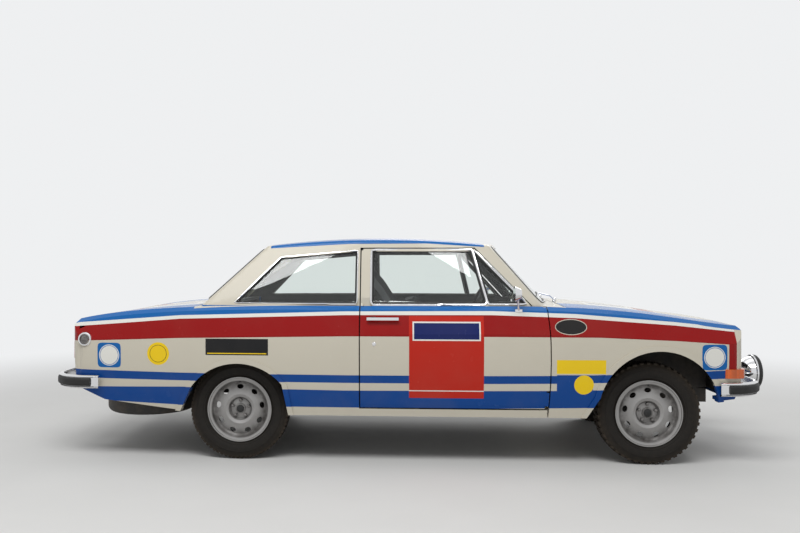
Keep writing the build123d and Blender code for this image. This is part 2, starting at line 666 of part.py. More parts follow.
def scuttle(forms):
    """Scuttle top, firewall and hinge posts in one panel."""
    half = BONNET_HALF + 10.0
    top = forms.skin & block(DOOR_FRONT_X - 40.0, SCUTTLE_X - GAP / 2, -half, half, 800.0, ROOF_Z)
    wall = forms.body_in & block(FIREWALL_X - FIREWALL_T, FIREWALL_X, -half, half, DOOR_BOTTOM_Z - GAP, ROOF_Z)
    foot = HALF_WIDTH - DOOR_THICKNESS - SILL_BOX
    wall = wall + block(FIREWALL_X - FIREWALL_T, FIREWALL_X, -foot, foot,
                        FLOOR_Z + FLOOR_T, DOOR_BOTTOM_Z - GAP)
    post = block(DOOR_FRONT_X + GAP + 2.0, FIREWALL_X, -HALF_WIDTH + 36.0, -POST_INNER,
                 DOOR_BOTTOM_Z - GAP, 940.0)
    post = (post & forms.body_in) + hinge_arms()
    lip_x = SCUTTLE_X - GAP / 2
    lip = block(lip_x - 12.0, lip_x, -half, half, 930.0, ROOF_Z) + \
        block(lip_x - 12.0, FIREWALL_X, -half, half, 922.0, 930.0)
    return top + wall + both(post) + (lip & forms.body_in)


def front_panel(forms):
    """Nose panel with the openings for the grille and the headlamps, and the valance."""
    half = nose_panel_half()
    panel = forms.skin & block(NOSE_X - 80.0, NOSE_X + 80.0, -half, half, 0.0, ROOF_Z)
    panel = panel - bonnet_region(GAP)
    panel = panel - block(NOSE_X - 90.0, NOSE_X + 90.0, -480.0, 480.0, 640.0, 836.0)
    lamp = rod(NOSE_X, -HEADLAMP_Y, HEADLAMP_Z, HEADLAMP_RADIUS + FREE, 400.0, "x")
    return panel - both(lamp)


def rear_panel(forms):
    """Tail panel below the boot lid."""
    half = BOOT_HALF + GAP
    zone = block(TAIL_X - 60.0, TAIL_X + 110.0, -half, half, 0.0, BOOT_LIP_Z - GAP)
    return forms.skin & zone


def bonnet(forms):
    return forms.skin & bonnet_region()


def boot_lid(forms):
    lid = forms.skin & boot_region()
    return lid - forms.cabin


def parcel_shelf(forms):
    """Deck strip before the boot lid, sill of the rear window, parcel shelf and the wall below it."""
    half = BOOT_HALF + GAP
    low = CABIN_LOW_Z - 20.0
    high = CABIN_LOW_Z - 4.0
    front = BOOT_FRONT_X + GAP
    strip = (forms.skin & block(front, SHELF_X, -half, half, 850.0, ROOF_Z)) - forms.frame
    sill = forms.frame & block(BOOT_FRONT_X - 100.0, SHELF_X, -QUARTER_INNER, QUARTER_INNER, high, REAR_SILL_Z)
    wall_x = REAR_AXLE_X + 60.0
    shelf = block(front, wall_x + 14.0, -half, half, low, high)
    riser = (block(front, front + 14.0, -half, half, low, ROOF_Z) & forms.body_in) - forms.frame
    wall = block(wall_x, wall_x + 14.0, -TUB_INNER, TUB_INNER, KICK_Z + FLOOR_T, low + 4.0)
    return strip + (sill - rear_window_cut()) + shelf + riser + wall


def floor_profile():
    """Side view of the floor: cabin floor, kick-up over the axle, boot floor."""
    front = FIREWALL_X
    kick = REAR_AXLE_X + 470.0
    top = [(front, FLOOR_Z + FLOOR_T), (kick, FLOOR_Z + FLOOR_T), (kick - 110.0, KICK_Z + FLOOR_T),
           (REAR_AXLE_X - 330.0, KICK_Z + FLOOR_T), (REAR_AXLE_X - 380.0, BOOT_FLOOR_Z + FLOOR_T),
           (TAIL_X + 240.0, BOOT_FLOOR_Z + FLOOR_T), (TAIL_X + 110.0, BOOT_FLOOR_Z + 90.0 + FLOOR_T)]
    low = [(x, z - FLOOR_T) for x, z in reversed(top)]
    return top + low


def floor_joint_x():
    """x of the joint between the cabin floor and the rear floor, at the kick-up."""
    return REAR_AXLE_X + 380.0


def floor_pan(forms):
    """Cabin floor with its tunnel, and the sills."""
    inner = HALF_WIDTH - DOOR_THICKNESS
    rear = floor_joint_x()
    cabin = side_prism(floor_profile(), -inner, inner) & block(rear, FIREWALL_X, -inner, inner, 0.0, 900.0)
    tunnel = block(rear, FIREWALL_X - FIREWALL_T, -TUNNEL_HALF, TUNNEL_HALF, FLOOR_Z, TUNNEL_Z)
    hollow = block(rear - 20.0, FIREWALL_X, -TUNNEL_HALF + 12.0, TUNNEL_HALF - 12.0,
                   FLOOR_Z - 20.0, TUNNEL_Z - 12.0)
    top = DOOR_BOTTOM_Z - GAP
    sill = block(DOOR_REAR_X - GAP, DOOR_FRONT_X - DOOR_FRONT_BOW + 2.0, -HALF_WIDTH, SILL_BOX - inner,
                 SILL_Z, top) & forms.body
    sill = sill + block(rear, FIREWALL_X, -inner, SILL_BOX - inner, SILL_Z, top)
    return cabin + both(sill) + tunnel - hollow


def boot_floor(forms):
    """Rear floor over the axle, the boot floor with its spare wheel well, and the wheel tubs."""
    front = floor_joint_x()
    step = REAR_AXLE_X - 390.0
    pan = side_prism(floor_profile(), -HALF_WIDTH, HALF_WIDTH)
    boot = pan & block(TAIL_X, step, -HALF_WIDTH, HALF_WIDTH, 0.0, 900.0) & forms.body_wall
    middle = pan & block(step, front, -TUB_INNER, TUB_INNER, 0.0, 900.0)
    tub = rod(REAR_AXLE_X, -(TUB_INNER + 900.0) / 2, TYRE_RADIUS, TUB_RADIUS + 8.0, 900.0 - TUB_INNER)
    tub = tub - rod(REAR_AXLE_X, -(TUB_INNER + 908.0) / 2, TYRE_RADIUS, TUB_RADIUS, 892.0 - TUB_INNER)
    tub = tub & block(REAR_AXLE_X - 380.0, front - 10.0, -900.0, -TUB_INNER + 0.01, 400.0, 900.0)
    tub = tub & forms.body_wall
    return boot + middle + both(tub) + spare_wheel_well()


def spare_wheel_well():
    """Round well pressed into the right of the boot floor."""
    low = BOOT_FLOOR_Z - WELL_DEPTH
    well = rod(REAR_AXLE_X - 700.0, -330.0, (low + BOOT_FLOOR_Z) / 2, 300.0, WELL_DEPTH, "z")
    low_rim = well.edges().sort_by(Axis.Z)[0]
    return fillet(low_rim, 40.0)


def inner_wings(forms):
    """Engine bay walls, the towers over the front wheels and the radiator panel."""
    front = NOSE_X - 90.0
    wall = block(FIREWALL_X, front, -BAY_WALL_Y - BAY_WALL_T, -BAY_WALL_Y, 430.0, 830.0)
    shelf = block(FIREWALL_X, front, -BONNET_HALF - 30.0, -BAY_WALL_Y, 748.0, 756.0)
    cross = block(front, front + BAY_WALL_T, -BAY_WALL_Y - 240.0, BAY_WALL_Y + 240.0, 430.0, 800.0)
    cross = cross - block(front - 20.0, front + 20.0, -330.0, 330.0, 500.0, 760.0)
    rail = block(FIREWALL_X, front, -BAY_WALL_Y - BAY_WALL_T, -BAY_WALL_Y + 62.0, BEAM_TOP_Z + FREE, 434.0)
    return ((both(wall + shelf) + cross) & forms.body_in) + both(rail)


def grille():
    """Black grille with bars inside its frame."""
    x = NOSE_X - 26.0
    half = 480.0 - FREE
    low = 640.0 + FREE
    high = 836.0 - FREE
    frame = block(x, x + 22.0, -half, half, low, high)
    frame = frame - block(x - 1.0, x + 23.0, 12.0 - half, half - 12.0, low + 12.0, high - 12.0)
    bars = 9
    pitch = (high - low) / (bars + 1)
    for i in range(bars):
        z = low + pitch * (i + 1)
        frame = frame + block(x + 4.0, x + 14.0, -half + 6.0, half - 6.0, z - 3.0, z + 3.0)
    centre = block(x, x + 20.0, -8.0, 8.0, low + 4.0, high - 4.0)
    return frame + centre


def round_lamp(profile, dome, y, z):
    """Turned lamp: (x, radius) points from the middle of its back to the lens rim, then a domed lens."""
    points = [(x, radius, 0) for x, radius in profile]
    rim_x, rim_radius = profile[-1]
    tip = (rim_x + dome, 0, 0)
    sphere = (rim_radius ** 2 + dome ** 2) / (2 * dome)
    middle_x = rim_x + dome - sphere + math.sqrt(sphere ** 2 - rim_radius ** 2 / 4)
    lens = ThreePointArc(points[-1], (middle_x, rim_radius / 2, 0), tip)
    flat = make_face([*Polyline(*points).edges(), lens, Line(tip, points[0])])
    return Pos(0, y, z) * revolve(flat, Axis.X)


def headlamp():
    """Right headlamp with its bright rim, seated in the nose panel."""
    radius = HEADLAMP_RADIUS
    profile = [(NOSE_X - 70.0, 0), (NOSE_X - 70.0, 42.0), (NOSE_X - 42.0, radius - 6.0),
               (NOSE_X - 32.0, radius), (NOSE_X + 1.0, radius), (NOSE_X + 7.0, radius - 4.0),
               (NOSE_X + 2.0, radius - 13.0)]
    return round_lamp(profile, 20.0, -HEADLAMP_Y, HEADLAMP_Z)


def aux_lamp():
    """Right driving lamp: turned bowl and wide rim, on a flat bracket over the bumper."""
    radius = AUX_LAMP_RADIUS
    back = bumper_face_x() + 10.0
    face = FRONT_AXLE_X + FRONT_REACH
    rim = face - 52.0
    profile = [(back, 0), (back, 36.0), (back + 10.0, 56.0), (back + 34.0, 86.0), (rim, radius - 9.0),
               (rim, radius), (face - 22.0, radius), (face - 12.0, radius - 8.0)]
    bracket_z = FRONT_BUMPER_Z + BUMPER_HALF_HEIGHT + FREE
    bracket = block(bumper_line_x(True), back + 24.0, -AUX_LAMP_Y - 22.0, -AUX_LAMP_Y + 22.0,
                    bracket_z, bracket_z + 6.0)
    return round_lamp(profile, 12.0, -AUX_LAMP_Y, AUX_LAMP_Z) + bracket


def indicator(forms):
    """Right front indicator, wrapped round the corner over the bumper."""
    outline = [(NOSE_X - 127.0, -780.0), (NOSE_X - 127.0, -814.0), (NOSE_X - 117.0, -822.0),
               (NOSE_X - 62.0, -820.0), (NOSE_X - 12.0, -802.0), (NOSE_X + 6.0, -772.0),
               (NOSE_X + 6.0, -690.0), (NOSE_X - 40.0, -690.0)]
    return plan_prism(outline, INDICATOR_LOW_Z, INDICATOR_HIGH_Z) - forms.body


def tail_lamp(forms):
    """Right tail lamp, standing proud of the tail panel."""
    outer = -TAIL_LAMP_Y - TAIL_LAMP_WIDTH
    box = block(TAIL_X + 6.0, TAIL_X + 70.0, outer, -TAIL_LAMP_Y, TAIL_LAMP_LOW_Z, TAIL_LAMP_HIGH_Z)
    box = fillet(box.edges().filter_by(Axis.X), 16.0)
    box = fillet(box.faces().sort_by(Axis.X)[0].edges(), 7.0)
    return box - forms.body


def lamps(forms):
    """Headlamps, driving lamps, indicators and tail lamps."""
    return both(headlamp()) + both(aux_lamp()) + both(indicator(forms)) + both(tail_lamp(forms))


def bumper_face_x():
    return FRONT_AXLE_X + BUMPER_FORWARD


def bumper_line_x(front):
    """x of the back of a bumper's channel."""
    if front:
        return bumper_face_x() - RUBBER_PROUD - BUMPER_DEPTH
    return REAR_AXLE_X - REAR_REACH + RUBBER_PROUD + BUMPER_DEPTH


def bumper_path(front, short=0.0):
    """Line along the back of a bumper, from its right end round to its left end."""
    x = bumper_line_x(front)
    z = FRONT_BUMPER_Z if front else REAR_BUMPER_Z
    wrap = BUMPER_FRONT_WRAP if front else BUMPER_REAR_WRAP
    end_x = x - wrap + short if front else x + wrap - short
    corner = BUMPER_SIDE_Y - BUMPER_TOE_IN
    start = BUMPER_SIDE_Y - BUMPER_TOE_IN * short / wrap
    return FilletPolyline((end_x, -start, z), (x, -corner, z), (x, corner, z), (end_x, start, z),
                          radius=BUMPER_CORNER)


def along_bumper(section, path):
    """Sweeps a section, drawn outward from the line, along a bumper's line."""
    ahead = path % 0
    outward = Vector(ahead.Y, -ahead.X, 0) if ahead.X > 0 else Vector(-ahead.Y, ahead.X, 0)
    plane = Plane(origin=path @ 0, x_dir=outward, z_dir=ahead)
    return sweep(plane * section, path=path)


def channel_section():
    """Pressed channel, open at the back, with a recess in its face for the rubber."""
    high = BUMPER_HALF_HEIGHT
    face = BUMPER_DEPTH
    recess = RUBBER_HALF_HEIGHT + 1.0
    seat = face - 5.0
    edges = [
        Line((0, high - 2.0), (9.0, high)),
        ThreePointArc((9.0, high), (face - 6.0, high - 5.0), (face, recess + 4.0)),
        Line((face, recess + 4.0), (seat, recess)),
        Line((seat, recess), (seat, -recess)),
        Line((seat, -recess), (face, -recess - 4.0)),
        ThreePointArc((face, -recess - 4.0), (face - 6.0, 5.0 - high), (9.0, -high)),
        Line((9.0, -high), (0, 2.0 - high)),
        Line((0, 2.0 - high), (0, 8.0 - high)),
        Line((0, 8.0 - high), (seat - 5.0, 16.0 - high)),
        Line((seat - 5.0, 16.0 - high), (seat - 5.0, high - 16.0)),
        Line((seat - 5.0, high - 16.0), (0, high - 8.0)),
        Line((0, high - 8.0), (0, high - 2.0)),
    ]
    return make_face(edges)


def rubber_section():
    """Rubber strip with a rounded face."""
    high = RUBBER_HALF_HEIGHT
    seat = BUMPER_DEPTH - 5.0 + FREE
    face = BUMPER_DEPTH + RUBBER_PROUD
    edges = [
        Line((seat, -high), (seat, high)),
        ThreePointArc((seat, high), (face - 4.0, high - 5.0), (face, high - 15.0)),
        Line((face, high - 15.0), (face, 15.0 - high)),
        ThreePointArc((face, 15.0 - high), (face - 4.0, 5.0 - high), (seat, -high)),
    ]
    return make_face(edges)


def bumper_bar(forms, front):
    """Bumper channel round one end of the car, with its two brackets."""
    bar = along_bumper(channel_section(), bumper_path(front))
    line_x = bumper_line_x(front)
    web_x = line_x + 20.0 if front else line_x - 20.0
    body_x = NOSE_X - 80.0 if front else TAIL_X + 90.0
    z = FRONT_BUMPER_Z if front else REAR_BUMPER_Z
    bracket = block(min(body_x, web_x), max(body_x, web_x), -420.0, -380.0, z - 20.0, z + 20.0)
    return bar + (both(bracket) - forms.body)


def bumpers(forms):
    return bumper_bar(forms, True) + bumper_bar(forms, False)


def bumper_rubbers():
    """Rubber strips of both bumpers."""
    front = along_bumper(rubber_section(), bumper_path(True, RUBBER_SHORT))
    rear = along_bumper(rubber_section(), bumper_path(False, RUBBER_SHORT))
    return front + rear


def engine():
    """Engine as one plain block at its place."""
    x = FRONT_AXLE_X - 40.0
    return block(x - 330.0, x + 330.0, -ENGINE_HALF, ENGINE_HALF, ENGINE_LOW_Z, 820.0)


def rim(outward):
    """Pressed steel wheel, axis along Y, with nine oval slots; outward is the open side."""
    profile = [
        (SPINDLE_RADIUS + FIT, 6.0), (SPINDLE_RADIUS + FIT, 40.0), (32.0, 40.0), (34.0, 24.0),
        (63.0, 20.0), (76.0, 42.0), (95.0, 49.0), (112.0, 45.0), (164.0, 36.0), (174.0, 42.0),
        (184.0, 60.0), (199.0, 63.0), (202.0, RIM_FACE), (RIM_RADIUS, RIM_FACE),
        (RIM_RADIUS, 66.0), (203.0, 58.0), (194.0, 57.0), (192.0, 42.0), (180.0, 32.0),
        (180.0, -34.0), (192.0, -44.0), (194.0, -57.0), (203.0, -58.0), (RIM_RADIUS, -66.0),
        (RIM_RADIUS, -RIM_FACE), (202.0, -RIM_FACE), (199.0, -63.0), (188.0, -60.0),
        (186.0, -48.0), (174.0, -36.0), (174.0, 20.0), (164.0, 29.0), (112.0, 38.0),
        (95.0, 42.0), (80.0, 36.0), (68.0, 6.0),
    ]
    disc = revolve(wire_face([(r, outward * y, 0) for r, y in profile]), Axis.Y)
    slots = 9
    for i in range(slots):
        slot = Rot(0, 360.0 / slots * i, 0) * Pos(0, outward * 40.0, 144.0) * Rot(90, 0, 0) * \
            extrude(Ellipse(21.0, 15.0), amount=40.0, both=True)
        disc = disc - slot
    return disc


def tyre():
    """Tyre seated on the rim: bead, sidewalls and tread as straight runs of its profile."""
    right = [(194.0 + FREE, 56.0), (RIM_RADIUS + 3.0, 59.0), (SIDEWALL_RADIUS, TYRE_WIDTH / 2),
             (TYRE_RADIUS, TREAD_HALF)]
    left = [(radius, -y) for radius, y in reversed(right)]
    return revolve(wire_face([(radius, y, 0) for radius, y in right + left]), Axis.Y)


def kingpin_y(z):
    """Distance of the inclined kingpin from the middle of the car at a height."""
    return KINGPIN_Y - (z - TYRE_RADIUS) * math.tan(math.radians(KINGPIN_TILT))


def knuckle():
    """Right steering knuckle: upright, spindle, brake plate, steering arm and ball stud."""
    x = FRONT_AXLE_X
    z = TYRE_RADIUS
    wheel_y = -TRACK / 2
    back_y = 20.0 - KINGPIN_Y
    tip_y = wheel_y - 42.0
    spindle = rod(x, (tip_y + back_y) / 2, z, SPINDLE_RADIUS, back_y - tip_y)
    upright = block(x - 22.0, x + 22.0, -KINGPIN_Y - 16.0, back_y, z - 62.0, z + 110.0)
    plate = rod(x, wheel_y + 28.0, z, 130.0, 12.0)
    plate = plate - block(x - 60.0, x + 60.0, wheel_y, 0.0, 0.0, z - BALL_DROP + 20.0)
    arm = block(x - 130.0, x, -KINGPIN_Y - 8.0, -KINGPIN_Y + 12.0, z - 60.0, z - 44.0)
    ball_z = z - BALL_DROP
    ball = Pos(x, -kingpin_y(ball_z), ball_z) * Sphere(BALL_RADIUS)
    stud = tube((x, -kingpin_y(ball_z), ball_z), (x, -kingpin_y(z - 55.0), z - 55.0), 7.0)
    return upright + spindle + plate + arm + ball + stud


def front_suspension():
    """Crossmember with the engine mounts, and lower arms with their ball sockets."""
    x = FRONT_AXLE_X
    z = TYRE_RADIUS - BALL_DROP
    beam = block(x - 70.0, x + 70.0, -BAY_WALL_Y - BAY_WALL_T, BAY_WALL_Y + BAY_WALL_T, z + 10.0, BEAM_TOP_Z)
    mount = block(x - 60.0, x + 20.0, 30.0 - ENGINE_HALF, 70.0 - ENGINE_HALF, BEAM_TOP_Z, ENGINE_LOW_Z - FREE)
    socket_y = -kingpin_y(z)
    arm = block(x - 24.0, x + 24.0, socket_y, -BAY_WALL_Y + 30.0, z - 10.0, z + 10.0)
    arm = arm + rod(x, socket_y, z, 26.0, 20.0, "z")
    arm = arm + tube((x - 150.0, -BAY_WALL_Y + 10.0, z), (x, socket_y + 40.0, z), 9.0)
    arm = arm - Pos(x, socket_y, z) * Sphere(BALL_RADIUS + FREE)
    return beam + both(mount + arm)


def rear_axle():
    """Live axle with its differential, brake plates and trailing arms."""
    x = REAR_AXLE_X
    z = TYRE_RADIUS
    beam = rod(x, 0, z, AXLE_RADIUS, TRACK - 60.0)
    ball = Pos(x, 60.0, z) * Sphere(130.0)
    plate = rod(x, -TRACK / 2 + 28.0, z, 125.0, 12.0)
    stub = rod(x, -TRACK / 2 - 10.0, z, SPINDLE_RADIUS, 64.0)
    bush_z = FLOOR_Z - 34.0
    arm = tube((x - 20.0, -TRAILING_ARM_Y, z - 30.0), (x + TRAILING_ARM, -TRAILING_ARM_Y, bush_z), 18.0)
    arm = arm + rod(x + TRAILING_ARM, -TRAILING_ARM_Y, bush_z, 26.0, 56.0)
    arm = arm + block(x + TRAILING_ARM - 16.0, x + TRAILING_ARM + 16.0, -TRAILING_ARM_Y - 28.0,
                      28.0 - TRAILING_ARM_Y, bush_z, FLOOR_Z - FREE)
    return beam + ball + both(plate) + both(stub) + both(arm)


def steering_wheel():
    ring = revolve(Pos(STEERING_WHEEL_RADIUS, 0, 0) * Rot(90, 0, 0) * Circle(14.0), Axis.Z)
    hub = Cylinder(34.0, 30.0)
    wheel = ring + hub
    for i in range(3):
        wheel = wheel + Rot(0, 0, 120.0 * i) * block(0, STEERING_WHEEL_RADIUS, -13.0, 13.0, -3.0, 3.0)
    return Pos(STEERING_WHEEL_X, DRIVER_Y, STEERING_WHEEL_Z) * Rot(0, COLUMN_TILT - 90.0, 0) * wheel


def dashboard():
    """Dashboard with the hood over the instruments and the steering column."""
    x = DOOR_FRONT_X - 70.0
    rear_x = SCUTTLE_X - GAP / 2 - 12.0 - FREE
    body = side_prism([(x - 120.0, 800.0), (x - 150.0, 930.0), (x - 60.0, 962.0), (rear_x, 960.0),
                       (rear_x, 932.0), (x + 60.0, 840.0)], -POST_INNER + FREE, POST_INNER - FREE)
    reach = Vector(math.cos(math.radians(COLUMN_TILT)), 0, -math.sin(math.radians(COLUMN_TILT)))
    hub = Vector(STEERING_WHEEL_X, DRIVER_Y, STEERING_WHEEL_Z)
    column = tube(hub + reach * (15.0 + FREE), hub + reach * 330.0, 22.0)
    return body + column


def seat_section(depth, rise):
    """Cross-section of a cushion as (across, depth) points, with raised edges."""
    half = SEAT_WIDTH / 2
    crest = half - SEAT_BOLSTER / 3
    trough = half - SEAT_BOLSTER
    right = [(half, 0), (half, depth), (crest, depth + rise), (trough, depth)]
    return right + [(-y, z) for y, z in reversed(right)]


def front_seat():
    """Low bucket seat: cushion and back with raised edges, on a base."""
    x = DOOR_FRONT_X - SEAT_SETBACK
    low = 430.0
    half = SEAT_WIDTH / 2
    cushion = Pos(0, -DRIVER_Y, low) * front_prism(seat_section(120.0, 40.0), x, x + 470.0)
    leaning = front_prism([(y, -z) for y, z in seat_section(80.0, 45.0)], 0, 490.0)
    back = Pos(x - 10.0, -DRIVER_Y, low + 95.0) * Rot(0, -90.0 - SEAT_RECLINE, 0) * leaning
    base = block(x + 40.0, x + 410.0, -DRIVER_Y - half + 40.0, -DRIVER_Y + half - 40.0, FLOOR_Z + FLOOR_T, low)
    return cushion + back + base


def seats():
    return both(front_seat())


def rear_seat():
    x = REAR_AXLE_X + 90.0
    cushion = block(x + 40.0, x + 460.0, -540.0, 540.0, KICK_Z + FLOOR_T + FREE, 640.0)
    back = side_prism([(x, 620.0), (x + 130.0, 640.0), (x + 70.0, 935.0), (x, 935.0)], -540.0, 540.0)
    return cushion + back


def roll_cage():
    """Main hoop behind the front seats with its two rear stays."""
    x = DOOR_REAR_X - 20.0
    radius = 20.0
    low = FLOOR_Z + FLOOR_T
    foot = 640.0
    head = 560.0
    top = ROOF_Z - 100.0
    path = FilletPolyline((x, -foot, low), (x, -foot, 900.0), (x, -head, top), (x, head, top),
                          (x, foot, 900.0), (x, foot, low), radius=120.0)
    hoop = sweep(Plane(origin=(x, -foot, low), z_dir=(0, 0, 1)) * Circle(radius), path=path)
    return hoop


def fuel_tank():
    """Tank below the left of the boot floor."""
    high = BOOT_FLOOR_Z - FREE
    tank = block(REAR_AXLE_X - 860.0, REAR_AXLE_X - 480.0, 120.0, 620.0, high - 150.0, high)
    return fillet(tank.edges().filter_by(Axis.Z), 50.0)


def exhaust():
    """Pipe with its silencer, on two hangers: under the axle, then between well and tank."""
    y = -160.0
    z = 250.0
    start = (FRONT_AXLE_X - 560.0, y, z)
    path = FilletPolyline(start, (REAR_AXLE_X - 160.0, y, z), (REAR_AXLE_X - 420.0, 45.0, z + 50.0),
                          (TAIL_X + 60.0, 45.0, z + 50.0), radius=110.0)
    pipe = sweep(Plane(origin=start, z_dir=(-1, 0, 0)) * Circle(22.0), path=path)
    silencer = rod(FRONT_AXLE_X - 1500.0, y, z, 50.0, 420.0, "x")
    for x, top in ((FRONT_AXLE_X - 1100.0, FLOOR_Z), (REAR_AXLE_X + 300.0, KICK_Z)):
        pipe = pipe + block(x - 10.0, x + 10.0, y - 3.0, y + 3.0, z + 10.0, top - FREE)
    return pipe + silencer


def place_wheel(shape, x, y):
    return Pos(x, y, TYRE_RADIUS) * shape


def main():
    os.makedirs("parts", exist_ok=True)
    forms = Forms()
    door = doors(forms)
    glass = door_glass(forms)
    trim = door_trim(forms)
    quarter = rear_quarter(forms)
    wing = front_wing(forms)
    parts = {
        "floor_pan": floor_pan(forms),
        "boot_floor": boot_floor(forms),
        "rear_quarter_right": quarter,
        "rear_quarter_left": mirrored(quarter),
        "roof": roof(forms),
        "front_wing_right": wing,
        "front_wing_left": mirrored(wing),
        "scuttle": scuttle(forms),
        "front_panel": front_panel(forms),
        "rear_panel": rear_panel(forms),
        "parcel_shelf": parcel_shelf(forms),
        "inner_wings": inner_wings(forms),
        "bonnet": bonnet(forms),
        "boot_lid": boot_lid(forms),
        "door_right": door,
        "door_left": mirrored(door),
        "door_glass_right": glass,
        "door_glass_left": mirrored(glass),
        "door_trim_right": trim,
        "door_trim_left": mirrored(trim),
        "glazing": glazing(forms),
        "grille": grille(),
        "lamps": lamps(forms),
        "bumpers": bumpers(forms),
        "bumper_rubbers": bumper_rubbers(),
        "engine": engine(),
        "front_suspension": front_suspension(),
        "rear_axle": rear_axle(),
        "knuckle_right": knuckle(),
        "knuckle_left": mirrored(knuckle()),
        "steering_wheel": steering_wheel(),
        "dashboard": dashboard(),
        "seats": seats(),
        "rear_seat": rear_seat(),
        "roll_cage": roll_cage(),
        "fuel_tank": fuel_tank(),
        "exhaust": exhaust(),
    }
    for end, x in (("front", FRONT_AXLE_X), ("rear", REAR_AXLE_X)):
        for side, sign in (("right", -1), ("left", 1)):
            parts[f"rim_{end}_{side}"] = place_wheel(rim(sign), x, sign * TRACK / 2)
            parts[f"tyre_{end}_{side}"] = place_wheel(tyre(), x, sign * TRACK / 2)
    for name, shape in parts.items():
        export_step(shape, f"parts/{name}.step")


main()
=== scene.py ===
"""Looks of a two-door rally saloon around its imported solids. Metres, +X forward, +Y left, +Z up."""
import math

import bmesh
import bpy
from mathutils import Matrix, Vector
from mathutils.bvhtree import BVHTree


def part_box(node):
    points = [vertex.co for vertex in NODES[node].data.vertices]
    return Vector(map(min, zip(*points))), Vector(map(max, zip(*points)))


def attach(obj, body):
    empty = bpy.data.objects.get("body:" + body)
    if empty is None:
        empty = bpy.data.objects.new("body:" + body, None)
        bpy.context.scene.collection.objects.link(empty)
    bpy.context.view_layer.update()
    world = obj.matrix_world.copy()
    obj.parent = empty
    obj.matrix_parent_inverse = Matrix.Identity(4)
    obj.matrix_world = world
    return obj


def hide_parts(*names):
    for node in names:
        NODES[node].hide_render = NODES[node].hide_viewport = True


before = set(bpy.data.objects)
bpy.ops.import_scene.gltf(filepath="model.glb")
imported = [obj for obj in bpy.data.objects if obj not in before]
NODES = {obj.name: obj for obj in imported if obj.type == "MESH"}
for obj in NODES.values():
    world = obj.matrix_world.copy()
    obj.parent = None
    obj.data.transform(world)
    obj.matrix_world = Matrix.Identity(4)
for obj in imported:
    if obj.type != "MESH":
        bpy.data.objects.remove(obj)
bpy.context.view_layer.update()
SIDES = {"right": -1.0, "left": 1.0}
FORWARD = Vector((1.0, 0.0, 0.0))
UP = Vector((0.0, 0.0, 1.0))

# Colours, linear
CREAM = (0.55, 0.515, 0.43)
WHITE = (0.72, 0.715, 0.67)
RED = (0.26, 0.002, 0.002)
UPPER_BLUE = (0.004, 0.11, 0.36)
LOWER_BLUE = (0.001, 0.052, 0.245)
PLATE_RED = (0.46, 0.016, 0.006)
NAVY = (0.004, 0.012, 0.1)
YELLOW = (0.8, 0.55, 0.01)
BLACK = (0.01, 0.01, 0.011)
# Dark underseal, also used as painted shade on faces that look inward or down
UNDERSEAL_AND_SHADE = (0.018, 0.017, 0.016)
ROAD_DUST = (0.24, 0.2, 0.15)
BACKDROP = (0.86, 0.87, 0.88)

# Livery: bands along each side from the top down, as the (x, z) line of each upper edge
LIVERY = [
    (WHITE, [(-2.2, 0.88), (-1.48, 0.934), (-0.42, 0.963), (0.5, 0.968), (1.02, 0.951), (1.63, 0.902),
             (2.0, 0.862)]),
    (RED, [(-2.2, 0.856), (-1.48, 0.912), (-0.42, 0.94), (0.5, 0.943), (1.02, 0.926), (1.63, 0.881),
           (2.0, 0.841)]),
    (CREAM, [(-2.2, 0.764), (-1.48, 0.791), (-0.42, 0.809), (0.5, 0.81), (1.16, 0.808), (1.63, 0.788),
             (2.0, 0.763)]),
    (LOWER_BLUE, [(-2.2, 0.582), (-1.48, 0.57), (-0.42, 0.564), (0.5, 0.566), (1.02, 0.571), (1.85, 0.603),
                  (2.0, 0.607)]),
    (CREAM, [(-2.2, 0.528), (-1.48, 0.52), (-0.42, 0.515), (0.5, 0.516), (1.02, 0.522), (1.85, 0.553),
             (2.0, 0.556)]),
    (LOWER_BLUE, [(-2.2, 0.468), (-1.48, 0.479), (-0.42, 0.466), (0.5, 0.471), (1.02, 0.476), (1.85, 0.51),
                  (2.0, 0.512)]),
    (CREAM, [(-2.2, 0.385), (-1.88, 0.376), (-1.48, 0.36), (-0.42, 0.356), (0.5, 0.358), (1.02, 0.366),
             (1.2, 0.37), (1.5, 0.2)]),
]
LIVERY_X = (-2.4, 2.4)
LIVERY_Z = (0.0, 1.2)
BELT_Z = 0.996
ROOF_BAND_Z = [(-1.15, 1.345), (-0.93, 1.366), (-0.4, 1.394), (0.1, 1.396), (0.47, 1.374)]

# Where the painted fields end
NOSE_X, NOSE_Z = 1.952, (0.612, 0.8)
CORNER_X, CORNER_Z = 2.002, 0.603
BONNET_X, BOOT_X = 0.97, -1.4
LID_Y, LID_Z = 0.775, 0.8
LID_EDGE_Y = [(-2.2, 0.44), (-1.4, 0.46), (0.95, 0.45), (2.05, 0.44)]
END_X, END_Y, END_Z = 2.0, 0.7, 0.6
TAIL_X, TAIL_Y = -2.12, 0.66
LID_UNDERSIDE_Y, LID_UNDERSIDE_Z = 0.73, 0.72
INNER_Z = 0.3
ROOF_BAND_X = (-0.93, 0.475)
ROOF_BAND_Y = 0.4
LINING_Y = 0.66
CABIN_X, CABIN_Z = 0.8, 0.98
FACING_IN = -0.06

